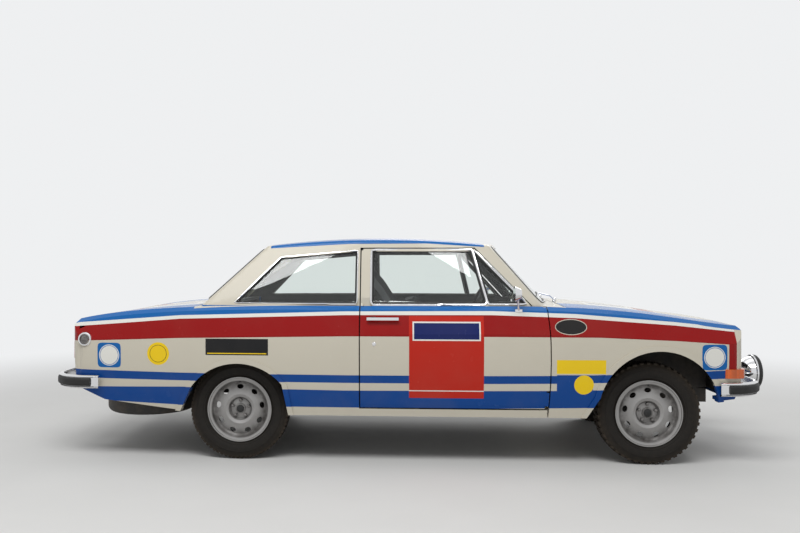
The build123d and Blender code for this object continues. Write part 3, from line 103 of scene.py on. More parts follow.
# Marks on each side: form, middle x and z, and the width, height and colour of each field in it
MARKS = [
    ("box", 0.2165, 0.6795, [(0.465, 0.513, PLATE_RED)]),
    ("box", 0.2175, 0.843, [(0.423, 0.118, WHITE), (0.405, 0.1, NAVY)]),
    ("box", 0.2165, 0.469, [(0.465, 0.006, WHITE)]),
    ("round_box", -1.944, 0.676, [(0.158, 0.16, UPPER_BLUE)]),
    ("disc", -1.944, 0.676, [(0.136, 0.136, WHITE), (0.126, 0.126, UPPER_BLUE), (0.119, 0.119, WHITE)]),
    ("disc", -1.616, 0.69, [(0.145, 0.145, YELLOW), (0.112, 0.112, BLACK), (0.106, 0.106, YELLOW)]),
    ("box", -1.105, 0.737, [(0.402, 0.104, BLACK)]),
    ("box", -1.105, 0.696, [(0.38, 0.006, YELLOW)]),
    ("disc", 0.985, 0.872, [(0.196, 0.096, CREAM), (0.188, 0.088, BLACK)]),
    ("box", 1.0465, 0.626, [(0.301, 0.086, YELLOW)]),
    ("box", 1.009, 0.523, [(0.222, 0.104, LOWER_BLUE)]),
    ("disc", 1.064, 0.514, [(0.12, 0.12, YELLOW)]),
    ("round_box", 1.863, 0.6865, [(0.156, 0.158, UPPER_BLUE)]),
    ("disc", 1.863, 0.6865, [(0.132, 0.132, WHITE), (0.123, 0.123, UPPER_BLUE), (0.116, 0.116, WHITE)]),
]

# Patches seen from above on bonnet and boot lid: x from, x to, distance from the middle from, to, colour
TOP_PATCHES = [
    (1.19, 1.65, 0.12, 0.45, WHITE),
    (1.52, 1.63, 0.14, 0.43, RED),
    (1.23, 1.48, 0.2, 0.27, NAVY),
    (-1.99, -1.47, 0.12, 0.45, WHITE),
    (-1.97, -1.86, 0.14, 0.43, RED),
    (-1.8, -1.52, 0.2, 0.27, NAVY),
]

AXLES = {"front": 1.49, "rear": -1.11}
WHEEL_Y = 0.675
WHEEL_Z = 0.322
BETWEEN_AXLES = 0.2

# Dirt and painted shade in the rim's recesses, and dust on the tyre, as (radius, share)
RIM_DIRT_AND_SHADE = [(0.0, 0.95), (0.028, 0.95), (0.036, 0.4), (0.06, 0.45), (0.074, 0.6), (0.08, 0.2),
            (0.095, 0.15), (0.12, 0.3), (0.14, 0.55), (0.168, 0.95), (0.182, 0.85), (0.188, 0.25),
            (0.196, 0.1), (0.21, 0.25)]
TYRE_DUST = [(0.205, 0.3), (0.225, 0.12), (0.27, 0.15), (0.296, 0.35), (0.31, 0.75), (0.318, 0.6),
             (0.323, 0.4)]


class Shader:
    """Node tree of one material, with short calls for its nodes."""

    def __init__(self, name):
        self.material = bpy.data.materials.new(name)
        self.material.use_nodes = True
        self.tree = self.material.node_tree
        self.surface = self.tree.nodes["Principled BSDF"]
        self.coords = None

    def node(self, kind, **settings):
        made = self.tree.nodes.new(kind)
        for key, value in settings.items():
            setattr(made, key, value)
        return made

    def join(self, source, target):
        """Feeds a socket, a number or a colour without alpha into another socket."""
        if isinstance(source, bpy.types.NodeSocket):
            self.tree.links.new(source, target)
        else:
            target.default_value = (*source, 1.0) if isinstance(source, tuple) else source

    def set(self, **values):
        """Feeds values into the surface shader, by socket name with underscores."""
        for key, value in values.items():
            self.join(value, self.surface.inputs[key.replace("_", " ")])

    def coordinate(self, name):
        if self.coords is None:
            self.coords = self.node("ShaderNodeTexCoord")
        return self.coords.outputs[name]

    def axes(self, name="Object"):
        parts = self.node("ShaderNodeSeparateXYZ")
        self.join(self.coordinate(name), parts.inputs[0])
        return parts.outputs

    def math(self, operation, a, b=0.0):
        made = self.node("ShaderNodeMath", operation=operation)
        self.join(a, made.inputs[0])
        self.join(b, made.inputs[1])
        return made.outputs[0]

    def over(self, value, limit):
        return self.math("GREATER_THAN", value, limit)

    def under(self, value, limit):
        return self.math("LESS_THAN", value, limit)

    def between(self, value, low, high):
        return self.product(self.over(value, low), self.under(value, high))

    def either(self, a, b):
        return self.math("MAXIMUM", a, b)

    def product(self, *shares):
        """Product of numbers; of shares, it is one where all of them are."""
        total = shares[0]
        for share in shares[1:]:
            total = self.math("MULTIPLY", total, share)
        return total

    def apart(self, value, middle, half):
        """Distance from a middle, in units of half a width."""
        return self.math("ABSOLUTE", self.math("DIVIDE", self.math("SUBTRACT", value, middle), half))

    def inside(self, form, x, z, middle_x, middle_z, width, height):
        """One inside a box, a box with round corners or a disc."""
        across = self.apart(x, middle_x, width / 2)
        upward = self.apart(z, middle_z, height / 2)
        if form == "box":
            return self.under(self.either(across, upward), 1.0)
        power = {"disc": 2.0, "round_box": 7.0}[form]
        total = self.math("ADD", self.math("POWER", across, power), self.math("POWER", upward, power))
        return self.under(total, 1.0)

    def mix(self, share, a, b):
        made = self.node("ShaderNodeMix", data_type="RGBA")
        for value, socket in ((share, "Factor"), (a, 6), (b, 7)):
            self.join(value, made.inputs[socket])
        return made.outputs[2]

    def noise(self, scale, detail=3.0, roughness=0.5):
        made = self.node("ShaderNodeTexNoise")
        self.join(self.coordinate("Object"), made.inputs["Vector"])
        for name, number in (("Scale", scale), ("Detail", detail), ("Roughness", roughness)):
            made.inputs[name].default_value = number
        return made.outputs["Fac"]

    def wave(self, scale, direction):
        made = self.node("ShaderNodeTexWave", bands_direction=direction)
        self.join(self.coordinate("Object"), made.inputs["Vector"])
        made.inputs["Scale"].default_value = scale
        return made.outputs["Fac"]

    def remap(self, value, low, high, to_low=0.0, to_high=1.0):
        made = self.node("ShaderNodeMapRange")
        self.join(value, made.inputs["Value"])
        for name, number in (("From Min", low), ("From Max", high), ("To Min", to_low), ("To Max", to_high)):
            made.inputs[name].default_value = number
        return made.outputs[0]

    def bump(self, height, strength, distance=0.001):
        made = self.node("ShaderNodeBump")
        self.join(height, made.inputs["Height"])
        made.inputs["Strength"].default_value = strength
        made.inputs["Distance"].default_value = distance
        self.set(Normal=made.outputs[0])

    def curve(self, value, points, x_range=LIVERY_X, y_range=LIVERY_Z):
        """Runs a value through straight lines between points of real sizes."""
        made = self.node("ShaderNodeFloatCurve")
        self.join(self.remap(value, *x_range), made.inputs["Value"])
        line = made.mapping.curves[0]
        wide, high = x_range[1] - x_range[0], y_range[1] - y_range[0]
        wanted = [((x - x_range[0]) / wide, (y - y_range[0]) / high) for x, y in points]
        wanted = [(0.0, wanted[0][1]), *wanted, (1.0, wanted[-1][1])]
        while len(line.points) < len(wanted):
            line.points.new(0.5, 0.5)
        for point, spot in zip(line.points, wanted):
            point.location = spot
            point.handle_type = "VECTOR"
        made.mapping.update()
        return self.remap(made.outputs[0], 0.0, 1.0, *y_range)

    def give_way(self, share, other):
        """Shows another shader in place of the surface where a share is one."""
        blend = self.node("ShaderNodeMixShader")
        for source, socket in zip((share, self.surface.outputs[0], other.outputs[0]), blend.inputs):
            self.join(source, socket)
        self.join(blend.outputs[0], self.tree.nodes["Material Output"].inputs["Surface"])


def side_colour(shader, x, z):
    """Bands and marks on the sides, cream above the belt and at the front corners."""
    colour = UPPER_BLUE
    for tint, points in LIVERY:
        colour = shader.mix(shader.under(z, shader.curve(x, points)), colour, tint)
    nose = shader.product(shader.over(x, NOSE_X), shader.between(z, *NOSE_Z))
    colour = shader.mix(nose, colour, RED)
    for form, middle_x, middle_z, fields in MARKS:
        for width, height, tint in fields:
            mark = shader.inside(form, x, z, middle_x, middle_z, width, height)
            colour = shader.mix(mark, colour, tint)
    corner = shader.product(shader.over(x, CORNER_X), shader.over(z, CORNER_Z))
    colour = shader.mix(corner, colour, CREAM)
    return shader.mix(shader.over(z, BELT_Z), colour, CREAM)


def top_colour(shader, x, side):
    """Cream with blue edges and patches on the bonnet and the boot lid."""
    edge = shader.math("SUBTRACT", side, shader.curve(x, LID_EDGE_Y))
    lids = shader.either(shader.over(x, BONNET_X), shader.under(x, BOOT_X))
    colour = shader.mix(shader.product(lids, shader.over(edge, 0.0)), CREAM, UPPER_BLUE)
    for x_low, x_high, y_low, y_high, tint in TOP_PATCHES:
        patch = shader.product(shader.between(x, x_low, x_high), shader.between(side, y_low, y_high))
        colour = shader.mix(patch, colour, tint)
    return colour


def livery_colour(shader):
    """Livery on the sides and the lids, plain paint at the ends, inner faces painted dark as painted shade,
    and dark undersides that are partly underseal and partly painted shade.
    """
    x, y, z = shader.axes()
    normal_y, normal_z = shader.axes("Normal")[1:]
    side = shader.math("ABSOLUTE", y)
    top = shader.product(shader.over(normal_z, 0.75), shader.over(z, LID_Z), shader.under(side, LID_Y))
    colour = shader.mix(top, side_colour(shader, x, z), top_colour(shader, x, side))
    far = shader.over(shader.math("ABSOLUTE", x), END_X)
    ends = shader.product(shader.under(side, END_Y), far, shader.over(z, END_Z))
    colour = shader.mix(ends, colour, CREAM)
    tail = shader.product(shader.under(x, TAIL_X), shader.under(side, TAIL_Y), shader.over(z, LID_Z))
    colour = shader.mix(tail, colour, CREAM)
    # Painted shade: faces that look in towards the middle, such as door shuts and the insides of panels, are
    # painted dark in place of body colour
    inner = shader.product(shader.under(shader.product(y, normal_y), FACING_IN), shader.over(z, INNER_Z))
    colour = shader.mix(inner, colour, UNDERSEAL_AND_SHADE)
    facing_down = shader.under(normal_z, -0.45)
    lid = shader.product(facing_down, shader.over(z, LID_UNDERSIDE_Z), shader.under(side, LID_UNDERSIDE_Y))
    colour = shader.mix(lid, colour, CREAM)
    # Painted shade and underseal: low faces that look down are painted dark
    return shader.mix(shader.product(facing_down, shader.under(z, LID_UNDERSIDE_Z)), colour, UNDERSEAL_AND_SHADE)


def paint_finish(shader, colour, dirt=0.05):
    """Clear-coated paint with faint unevenness and road dust low down."""
    grime = shader.remap(shader.noise(3.0, 5.0), 0.45, 0.75)
    low = shader.remap(shader.axes()[2], 0.62, 0.32, 0.35, 1.0)
    shader.set(Base_Color=shader.mix(shader.product(grime, low, dirt), colour, ROAD_DUST),
               Roughness=shader.remap(shader.noise(14.0, 4.0), 0.3, 0.7, 0.2, 0.28),
               Coat_Weight=0.2, Coat_Roughness=0.04, Specular_IOR_Level=0.12)
    shader.bump(shader.noise(30.0, 1.0), 0.004)
    return shader.material


def body_paint():
    shader = Shader("body_paint")
    return paint_finish(shader, livery_colour(shader), 0.12)


def roof_paint():
    """Cream greenhouse with a blue band along each edge of the roof and a black lining inside."""
    shader = Shader("roof_paint")
    x, y, z = shader.axes()
    normal_x, normal_y, normal_z = shader.axes("Normal")
    side = shader.math("ABSOLUTE", y)
    high = shader.over(z, shader.curve(x, ROOF_BAND_Z, y_range=(0.0, 1.5)))
    band = shader.product(high, shader.over(side, ROOF_BAND_Y), shader.between(x, *ROOF_BAND_X))
    inner = shader.under(shader.product(y, normal_y), FACING_IN)
    lining = shader.either(inner, shader.under(normal_z, -0.35))
    facing_in = shader.under(shader.product(shader.math("ADD", x, 0.25), normal_x), -0.12)
    lining = shader.either(lining, shader.product(facing_in, shader.under(side, LINING_Y)))
    return paint_finish(shader, shader.mix(lining, shader.mix(band, CREAM, UPPER_BLUE), BLACK))


def shell_paint():
    """Plain cream on the outside of the sills and the scuttle, dark inside the cabin."""
    shader = Shader("shell_paint")
    x, y, z = shader.axes()
    normal_x, normal_y = shader.axes("Normal")[:2]
    low = shader.under(z, CABIN_Z)
    inner = shader.product(shader.under(shader.product(y, normal_y), 0.25), shader.under(x, CABIN_X), low)
    wall = shader.product(shader.under(normal_x, -0.5), low)
    return paint_finish(shader, shader.mix(shader.either(inner, wall), CREAM, UNDERSEAL_AND_SHADE))


def plain(name, colour, rough, metal=0.0, spots=0.2, grain=60.0, bump=0.05):
    """Material of one colour with small changes of tone, roughness and surface."""
    shader = Shader(name)
    dark, light = (tuple(min(c * tone, 1.0) for c in colour) for tone in (1.0 - spots, 1.0 + spots))
    rough_map = shader.remap(shader.noise(grain * 0.4, 3.0), 0.3, 0.7, rough * 0.85, min(rough * 1.15, 1.0))
    shader.set(Base_Color=shader.mix(shader.remap(shader.noise(grain, 4.0), 0.3, 0.7), dark, light),
               Roughness=rough_map, Metallic=metal, Specular_IOR_Level=0.35)
    shader.bump(shader.noise(grain * 6.0, 3.0), bump)
    return shader.material


def dusty(name, colour, dust, rough, reach):
    """Material whose hollows and broad patches hold pale dust."""
    shader = Shader(name)
    patches = shader.remap(shader.noise(7.0, 6.0, 0.65), 0.42, 0.72, 0.0, reach)
    shader.set(Base_Color=shader.mix(patches, colour, dust),
               Roughness=shader.remap(patches, 0.0, 1.0, rough, 0.95))
    shader.bump(shader.noise(220.0, 4.0), 0.12)
    return shader.material


def wheel_radius(shader):
    """Distance from the axle of the wheel that a point belongs to."""
    axes = shader.axes()
    x, z = axes[0], axes[2]
    ahead = shader.over(x, BETWEEN_AXLES)
    axle = shader.math("ADD", shader.product(ahead, AXLES["front"] - AXLES["rear"]), AXLES["rear"])
    across = shader.math("SUBTRACT", x, axle)
    upward = shader.math("SUBTRACT", z, WHEEL_Z)
    total = shader.math("ADD", shader.product(across, across), shader.product(upward, upward))
    return shader.math("SQRT", total)


def ringed(name, colour, dust, rings, rough, metal, grain, bump):
    """Wheel or tyre material: dust gathers at some radii, in patches; on the rim this darkening is partly
    dirt and partly painted shade in its recesses.
    """
    shader = Shader(name)
    amount = shader.curve(wheel_radius(shader), rings, (0.0, 0.34), (0.0, 1.0))
    patches = shader.remap(shader.noise(grain, 5.0, 0.6), 0.35, 0.7, 0.45, 1.0)
    share = shader.product(amount, patches)
    shader.set(Base_Color=shader.mix(share, colour, dust), Metallic=metal, Specular_IOR_Level=0.18,
               Roughness=shader.remap(share, 0.0, 1.0, rough, 0.92))
    shader.bump(shader.noise(240.0, 4.0), bump)
    return shader.material


def chrome():
    shader = Shader("chrome")
    shader.set(Base_Color=(0.74, 0.74, 0.75), Metallic=1.0,
               Roughness=shader.remap(shader.noise(18.0, 4.0), 0.3, 0.75, 0.05, 0.16))
    shader.bump(shader.noise(90.0, 2.0), 0.01)
    return shader.material


def cloth(name, colour, weave):
    """Woven cover: crossing fine ribs with uneven tone."""
    shader = Shader(name)
    across, along, upward = (shader.wave(weave, axis) for axis in "XYZ")
    ribs = shader.math("ADD", shader.product(across, along), shader.product(upward, 0.5))
    tone = shader.math("ADD", shader.product(ribs, 0.4), shader.noise(8.0, 4.0))
    light = tuple(min(c * 1.9, 1.0) for c in colour)
    shader.set(Base_Color=shader.mix(shader.remap(tone, 0.4, 1.1), colour, light),
               Roughness=0.92, Sheen_Weight=0.2, Sheen_Roughness=0.5)
    shader.bump(ribs, 0.35, 0.0008)
    return shader.material


def glass(name, tint):
    """Clear pane that lets plain light through."""
    shader = Shader(name)
    shader.set(Base_Color=tint, Transmission_Weight=1.0, IOR=1.45,
               Roughness=shader.remap(shader.noise(9.0, 4.0), 0.4, 0.8, 0.0, 0.015))
    through = shader.node("ShaderNodeBsdfTransparent")
    shader.join(tint, through.inputs["Color"])
    shader.give_way(shader.node("ShaderNodeLightPath").outputs["Is Shadow Ray"], through)
    return shader.material


def lens(name, tint, ribs, rough=0.12, clear=0.0):
    """Ribbed lens of one colour."""
    shader = Shader(name)
    fluting = shader.wave(ribs, "Y")
    light = tuple(min(c * 1.5, 1.0) for c in tint)
    shader.set(Base_Color=shader.mix(fluting, tint, light), Roughness=rough, Coat_Weight=0.3,
               Coat_Roughness=0.03, Transmission_Weight=clear)
    shader.bump(fluting, 0.5, 0.001)
    return shader.material


MATERIALS = {
    "paint": body_paint(),
    "roof": roof_paint(),
    "shell": shell_paint(),
    "chrome": chrome(),
    "glass": glass("window_glass", (0.9, 0.94, 0.92)),
    "rubber": plain("black_rubber", (0.014, 0.014, 0.014), 0.55, grain=40.0),
    "plastic": plain("black_plastic", (0.018, 0.018, 0.018), 0.45, grain=50.0),
    "chassis": dusty("chassis_black", (0.022, 0.02, 0.018), (0.16, 0.13, 0.1), 0.6, 0.5),
    "steel": plain("exhaust_steel", (0.22, 0.19, 0.16), 0.5, metal=0.9, spots=0.4, grain=25.0),
    "engine": plain("cast_block", (0.12, 0.02, 0.02), 0.6, spots=0.3, grain=30.0, bump=0.3),
    # Dark rings on the rim: partly dirt, partly painted shade in its hub and the groove inside its lip
    "wheel": ringed("wheel_silver", (0.36, 0.352, 0.345), (0.04, 0.034, 0.03), RIM_DIRT_AND_SHADE,
                    rough=0.3, metal=0.7, grain=12.0, bump=0.06),
    "dark_steel": plain("dark_steel", (0.2, 0.19, 0.185), 0.4, metal=0.8, spots=0.3, grain=30.0),
    "tyre": ringed("tyre_rubber", (0.009, 0.0085, 0.008), (0.075, 0.058, 0.042), TYRE_DUST,
                   rough=0.62, metal=0.0, grain=38.0, bump=0.15),
    "cloth": cloth("seat_cloth", (0.016, 0.016, 0.018), 260.0),
    "webbing": cloth("belt_webbing", (0.045, 0.045, 0.05), 400.0),
    "vinyl": plain("cabin_vinyl", (0.02, 0.019, 0.018), 0.5, grain=130.0, bump=0.35),
    "visor": plain("visor_board", (0.1, 0.085, 0.045), 0.7, grain=90.0, bump=0.2),
    "leather": plain("wheel_leather", (0.02, 0.016, 0.014), 0.5, grain=120.0, bump=0.3),
    "dial": plain("dial_face", (0.012, 0.012, 0.012), 0.3, grain=40.0),
    "mark": plain("dial_mark", (0.75, 0.75, 0.7), 0.4, grain=40.0),
    "clear": lens("clear_lens", (0.62, 0.64, 0.64), 55.0, 0.08, 0.5),
    "amber": lens("amber_lens", (0.44, 0.07, 0.002), 90.0),
    "red_lens": lens("red_lens", (0.3, 0.002, 0.002), 90.0),
}


def both(*names):
    """Names of the right and the left one of each pair."""
    return [f"{name}_{side}" for name in names for side in SIDES]


CAD_MATERIALS = {
    "shell": ["floor_pan", "scuttle"],
    "paint": ["rear_panel", "front_panel", "bonnet", "boot_lid",
              *both("rear_quarter", "front_wing", "door")],
    "roof": ["roof"],
    "glass": ["glazing", *both("door_glass")],
    "chrome": ["bumpers", "lamps", *both("door_trim")],
    "plastic": ["grille"],
    "vinyl": ["dashboard", "parcel_shelf"],
    "rubber": ["bumper_rubbers"],
    "engine": ["engine"],
    "chassis": ["front_suspension", "rear_axle", "fuel_tank", "roll_cage", "boot_floor", "inner_wings",
                *both("knuckle")],
    "steel": ["exhaust"],
    "cloth": ["seats", "rear_seat"],
    "leather": ["steering_wheel"],
    "wheel": both("rim_front", "rim_rear"),
    "tyre": both("tyre_front", "tyre_rear"),
}


def dress_nodes():
    for kind, names in CAD_MATERIALS.items():
        for name in names:
            slots = NODES[name].data.materials
            slots.clear()
            slots.append(MATERIALS[kind])


def linked(name, data):
    """Object of the scene that holds some data."""
    made = bpy.data.objects.new(name, data)
    bpy.context.scene.collection.objects.link(made)
    return made


def add_piece(name, shape, material, body="root", replaces=(), sharp=32.0):
    """Turns a bmesh into a named piece that rides on a body."""
    bmesh.ops.remove_doubles(shape, verts=shape.verts, dist=1e-6)
    bmesh.ops.recalc_face_normals(shape, faces=shape.faces)
    mesh = bpy.data.meshes.new(name)
    shape.to_mesh(mesh)
    shape.free()
    mesh.shade_smooth()
    mesh.set_sharp_from_angle(angle=math.radians(sharp))
    mesh.materials.append(MATERIALS[material])
    piece = linked(name, mesh)
    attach(piece, body)
    if replaces:
        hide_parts(*replaces)
    return piece


def moved(x, y, z):
    return Matrix.Translation((x, y, z))


def turn(degrees, axis):
    return Matrix.Rotation(math.radians(degrees), 4, axis)


def pointing(place, direction):
    """Matrix that sets local Z along a direction at a place."""
    tilt = Vector(direction).to_track_quat("Z", "Y").to_matrix().to_4x4()
    return Matrix.Translation(place) @ tilt


def turned(shape, profile, place, steps, closed=False):
    """Adds a form turned about local Z from (radius, height) points."""
    rings = []
    for i in range(steps):
        angle = math.tau * i / steps
        rings.append([shape.verts.new(place @ Vector((r * math.cos(angle), r * math.sin(angle), h)))
                      for r, h in profile])
    spans = len(profile) if closed else len(profile) - 1
    for i in range(steps):
        ring, following = rings[i], rings[(i + 1) % steps]
        for j in range(spans):
            k = (j + 1) % len(profile)
            shape.faces.new((ring[j], following[j], following[k], ring[k]))
    return shape


def block(shape, corners):
    """Adds a closed form from its 8 corners: the lower four in turn, then the upper four."""
    verts = [shape.verts.new(corner) for corner in corners]
    for face in ((3, 2, 1, 0), (4, 5, 6, 7), (0, 1, 5, 4), (1, 2, 6, 5), (2, 3, 7, 6), (3, 0, 4, 7)):
        shape.faces.new([verts[i] for i in face])


def rounded_box(shape, place, size, edge):
    """Adds a box with rounded edges, in the local axes of a matrix."""
    made = bmesh.ops.create_cube(shape, size=1.0)["verts"]
    for vert in made:
        vert.co = Vector(vert.co[i] * size[i] for i in range(3))
    edges = list({e for vert in made for e in vert.link_edges})
    bevelled = bmesh.ops.bevel(shape, geom=made + edges, offset=edge, segments=3, affect="EDGES",
                               profile=0.6)
    for vert in bevelled["verts"]:
        vert.co = place @ vert.co
    return shape


def ribbon(shape, points, normals, section, closed=True):
    """Sweeps a section of (outward, raised) points along a line on a surface."""
    count = len(points)
    middle = sum(points, Vector()) / count
    rings = []
    for i in range(count):
        before = points[i - 1] if closed or i else points[i]
        after = points[(i + 1) % count] if closed or i < count - 1 else points[i]
        tangent = (after - before).normalized()
        normal = (normals[i] - tangent * normals[i].dot(tangent)).normalized()
        outward = tangent.cross(normal)
        if closed and outward.dot(points[i] - middle) < 0.0:
            outward.negate()
        rings.append([shape.verts.new(points[i] + outward * a + normal * b) for a, b in section])
    size = len(section)
    for i in range(count if closed else count - 1):
        ring, following = rings[i], rings[(i + 1) % count]
        for j in range(size):
            k = (j + 1) % size
            shape.faces.new((ring[j], ring[k], following[k], following[j]))
    if not closed:
        shape.faces.new(rings[0])
        shape.faces.new(reversed(rings[-1]))
    return shape


def slab(shape, upper, lower):
    """Adds the closed form between two grids of vertices."""
    rows, columns = len(upper) - 1, len(upper[0]) - 1
    for i in range(rows):
        for j in range(columns):
            shape.faces.new((upper[i][j], upper[i + 1][j], upper[i + 1][j + 1], upper[i][j + 1]))
            shape.faces.new((lower[i][j], lower[i][j + 1], lower[i + 1][j + 1], lower[i + 1][j]))
    for i in range(rows):
        for j in (0, columns):
            shape.faces.new((upper[i][j], lower[i][j], lower[i + 1][j], upper[i + 1][j]))
    for j in range(columns):
        for i in (0, rows):
            shape.faces.new((upper[i][j], lower[i][j], lower[i][j + 1], upper[i][j + 1]))


def islands(name):
    """Loose parts of a node's mesh, each as a list of bmesh faces, with their bmesh."""
    shape = bmesh.new()
    shape.from_mesh(NODES[name].data)
    bmesh.ops.remove_doubles(shape, verts=shape.verts, dist=1e-6)
    found = []
    seen = set()
    for start in shape.faces:
        if start in seen:
            continue
        seen.add(start)
        part = [start]
        for face in part:
            for edge in face.edges:
                for other in edge.link_faces:
                    if other not in seen:
                        seen.add(other)
                        part.append(other)
        found.append(part)
    return shape, found


def part_middle(part):
    verts = {vert for face in part for vert in face.verts}
    low = Vector(min(v.co[i] for v in verts) for i in range(3))
    high = Vector(max(v.co[i] for v in verts) for i in range(3))
    return (low + high) / 2


def hull(points):
    """Convex outline of flat (u, v, key) points, in turn."""
    points = sorted(points)

    def chain(run):
        line = []
        for p in run:
            while len(line) > 1 and ((line[-1][0] - line[-2][0]) * (p[1] - line[-2][1])
                                     - (line[-1][1] - line[-2][1]) * (p[0] - line[-2][0])) <= 1e-12:
                line.pop()
            line.append(p)
        return line[:-1]

    return chain(points) + chain(points[::-1])


def even_line(points, step, closed=True):
    """Points at even steps along a line of straight runs."""
    run = points + [points[0]] if closed else points
    lengths = [(b - a).length for a, b in zip(run, run[1:])]
    total = sum(lengths)
    count = max(int(total / step), 4)
    spots = []
    for i in range(count if closed else count + 1):
        left = total * i / count
        j = 0
        while j < len(lengths) - 1 and left > lengths[j]:
            left -= lengths[j]
            j += 1
        spots.append(run[j].lerp(run[j + 1], min(left / max(lengths[j], 1e-9), 1.0)))
    return spots


CABIN_MIDDLE = Vector((-0.2, 0.0, 1.1))


def pane_loops(name):
    """Centre, outline and outward directions of each pane of a glass node."""
    shape, parts = islands(name)
    loops = []
    for part in parts:
        centre = part_middle(part)
        big = [f for f in part if f.normal.dot(centre - CABIN_MIDDLE) > 0.0]
        mean = sum((f.normal * f.calc_area() for f in big), Vector()).normalized()
        outer = [f for f in part if f.normal.dot(mean) > 0.8]
        side = mean.orthogonal().normalized()
        other = mean.cross(side)
        verts = list({v for f in outer for v in f.verts})
        flat = [(v.co.dot(side), v.co.dot(other), i) for i, v in enumerate(verts)]
        line = even_line([verts[point[2]].co.copy() for point in hull(flat)], 0.02)
        tree = BVHTree.FromPolygons([v.co.copy() for v in verts],
                                    [[verts.index(v) for v in f.verts] for f in outer])
        normals = [tree.find_nearest(p)[1] for p in line]
        normals = [n if n.dot(mean) > 0.0 else -n for n in normals]
        loops.append((centre, line, normals))
    shape.free()
    return loops


def surface(name):
    mesh = NODES[name].data
    return BVHTree.FromPolygons([v.co for v in mesh.vertices], [list(p.vertices) for p in mesh.polygons])


def cast(tree, start, direction):
    """Place and normal where a ray meets a surface, or None twice."""
    return tree.ray_cast(Vector(start), Vector(direction))[:2]


# Sections of seals and frames, as (outward, raised) points
SEAL = [(-0.009, 0.0), (-0.009, 0.003), (-0.004, 0.0105), (0.006, 0.0115), (0.01, 0.0095), (0.011, 0.006),
        (0.0, 0.004)]
BEAD = [(-0.001, 0.009), (-0.001, 0.0125), (0.001, 0.0135), (0.004, 0.0135), (0.006, 0.012), (0.006, 0.009)]
FRAME = [(0.0005, 0.004), (0.0005, 0.01), (0.002, 0.012), (0.006, 0.012), (0.0075, 0.0105), (0.0075, 0.006)]
DOOR_FRAME = [(0.0005, 0.004), (0.0005, 0.01), (0.002, 0.013), (0.006, 0.0146), (0.007, 0.0138),
              (0.008, 0.0142), (0.009, 0.016), (0.013, 0.0162), (0.0145, 0.0146), (0.0145, 0.004)]
LIP = [(-0.011, 0.0), (-0.011, 0.002), (-0.003, 0.0085), (0.002, 0.0095), (0.002, 0.004)]


def window_trim():
    """Rubber seals and bright frames round every pane."""
    rubber, bright = bmesh.new(), bmesh.new()
    for centre, line, normals in pane_loops("glazing"):
        at_end = abs(centre.y) < 0.1
        ribbon(rubber, line, normals, SEAL if at_end else LIP)
        ribbon(bright, line, normals, BEAD if at_end else FRAME)
    add_piece("window_seals", rubber, "rubber")
    add_piece("window_frames", bright, "chrome")
    for side in SIDES:
        rubber, bright = bmesh.new(), bmesh.new()
        for loop in pane_loops(f"door_glass_{side}"):
            ribbon(rubber, *loop[1:], LIP)
            ribbon(bright, *loop[1:], DOOR_FRAME)
        add_piece(f"door_seals_{side}", rubber, "rubber", f"door_{side}")
        add_piece(f"door_frames_{side}", bright, "chrome", f"door_{side}")


TYRE_RADIUS = 0.322
TREAD_HALF = 0.061
TREAD_CROWN = 0.0035
BLOCK_FOOT = 0.308
SHOULDER_FOOT = 0.312
SHOULDER_REACH = 0.006
BLOCK_TAPER = 0.9
TYRE_STEPS = 128

# Carcass of a tyre from one bead over the tread: radius, distance from the middle plane
CARCASS = [(0.1965, 0.056), (0.212, 0.06), (0.216, 0.064), (0.221, 0.0672), (0.224, 0.0728),
           (0.228, 0.0742), (0.233, 0.0742), (0.235, 0.0768), (0.245, 0.08), (0.258, 0.0818),
           (0.268, 0.0818), (0.269, 0.0826), (0.272, 0.0826), (0.2735, 0.0812), (0.285, 0.0785),
           (0.296, 0.074), (0.306, 0.067), (0.313, 0.056), (0.313, 0.02)]

# Rows of tread blocks: middle, width, count, share of the pitch, slant, and depth down the shoulder
KNOBBLY = [(0.0, 0.02, 46, 0.66, 0.012, 0.0), (0.026, 0.021, 46, 0.6, -0.01, 0.0),
           (-0.026, 0.021, 46, 0.6, 0.01, 0.0), (0.052, 0.024, 46, 0.55, 0.004, 0.022),
           (-0.052, 0.024, 46, 0.55, -0.004, 0.022)]
ROAD = [(0.0, 0.022, 72, 0.84, 0.008, 0.0), (0.026, 0.022, 72, 0.82, -0.008, 0.0),
        (-0.026, 0.022, 72, 0.82, 0.008, 0.0), (0.051, 0.022, 72, 0.74, 0.004, 0.014),
        (-0.051, 0.022, 72, 0.74, -0.004, 0.014)]


def wheels():
    """Name of each wheel, and its middle with local Z outward."""
    for end in AXLES:
        for side, sign in SIDES.items():
            yield f"{end}_{side}", pointing((AXLES[end], sign * WHEEL_Y, WHEEL_Z), (0.0, sign, 0.0))


def tread_block(shape, place, angle, spread, across, width, slant, drop):
    """One block of the tread, standing on the carcass; shoulder blocks run down the sidewall."""
    corners = []
    for level in (0, 1):
        for sweep, edge in ((-1, -1), (1, -1), (1, 1), (-1, 1)):
            reach = across + edge * width / 2
            radius = TYRE_RADIUS - TREAD_CROWN * (reach / TREAD_HALF) ** 2 if level else BLOCK_FOOT
            if drop and edge * across > 0.0 and not level:
                radius = SHOULDER_FOOT - drop
                reach += math.copysign(SHOULDER_REACH, across)
            shrink = BLOCK_TAPER if level else 1.0
            around = angle + sweep * spread * shrink + slant * edge
            corners.append(place @ Vector((radius * math.cos(around), radius * math.sin(around), reach)))
    block(shape, corners)


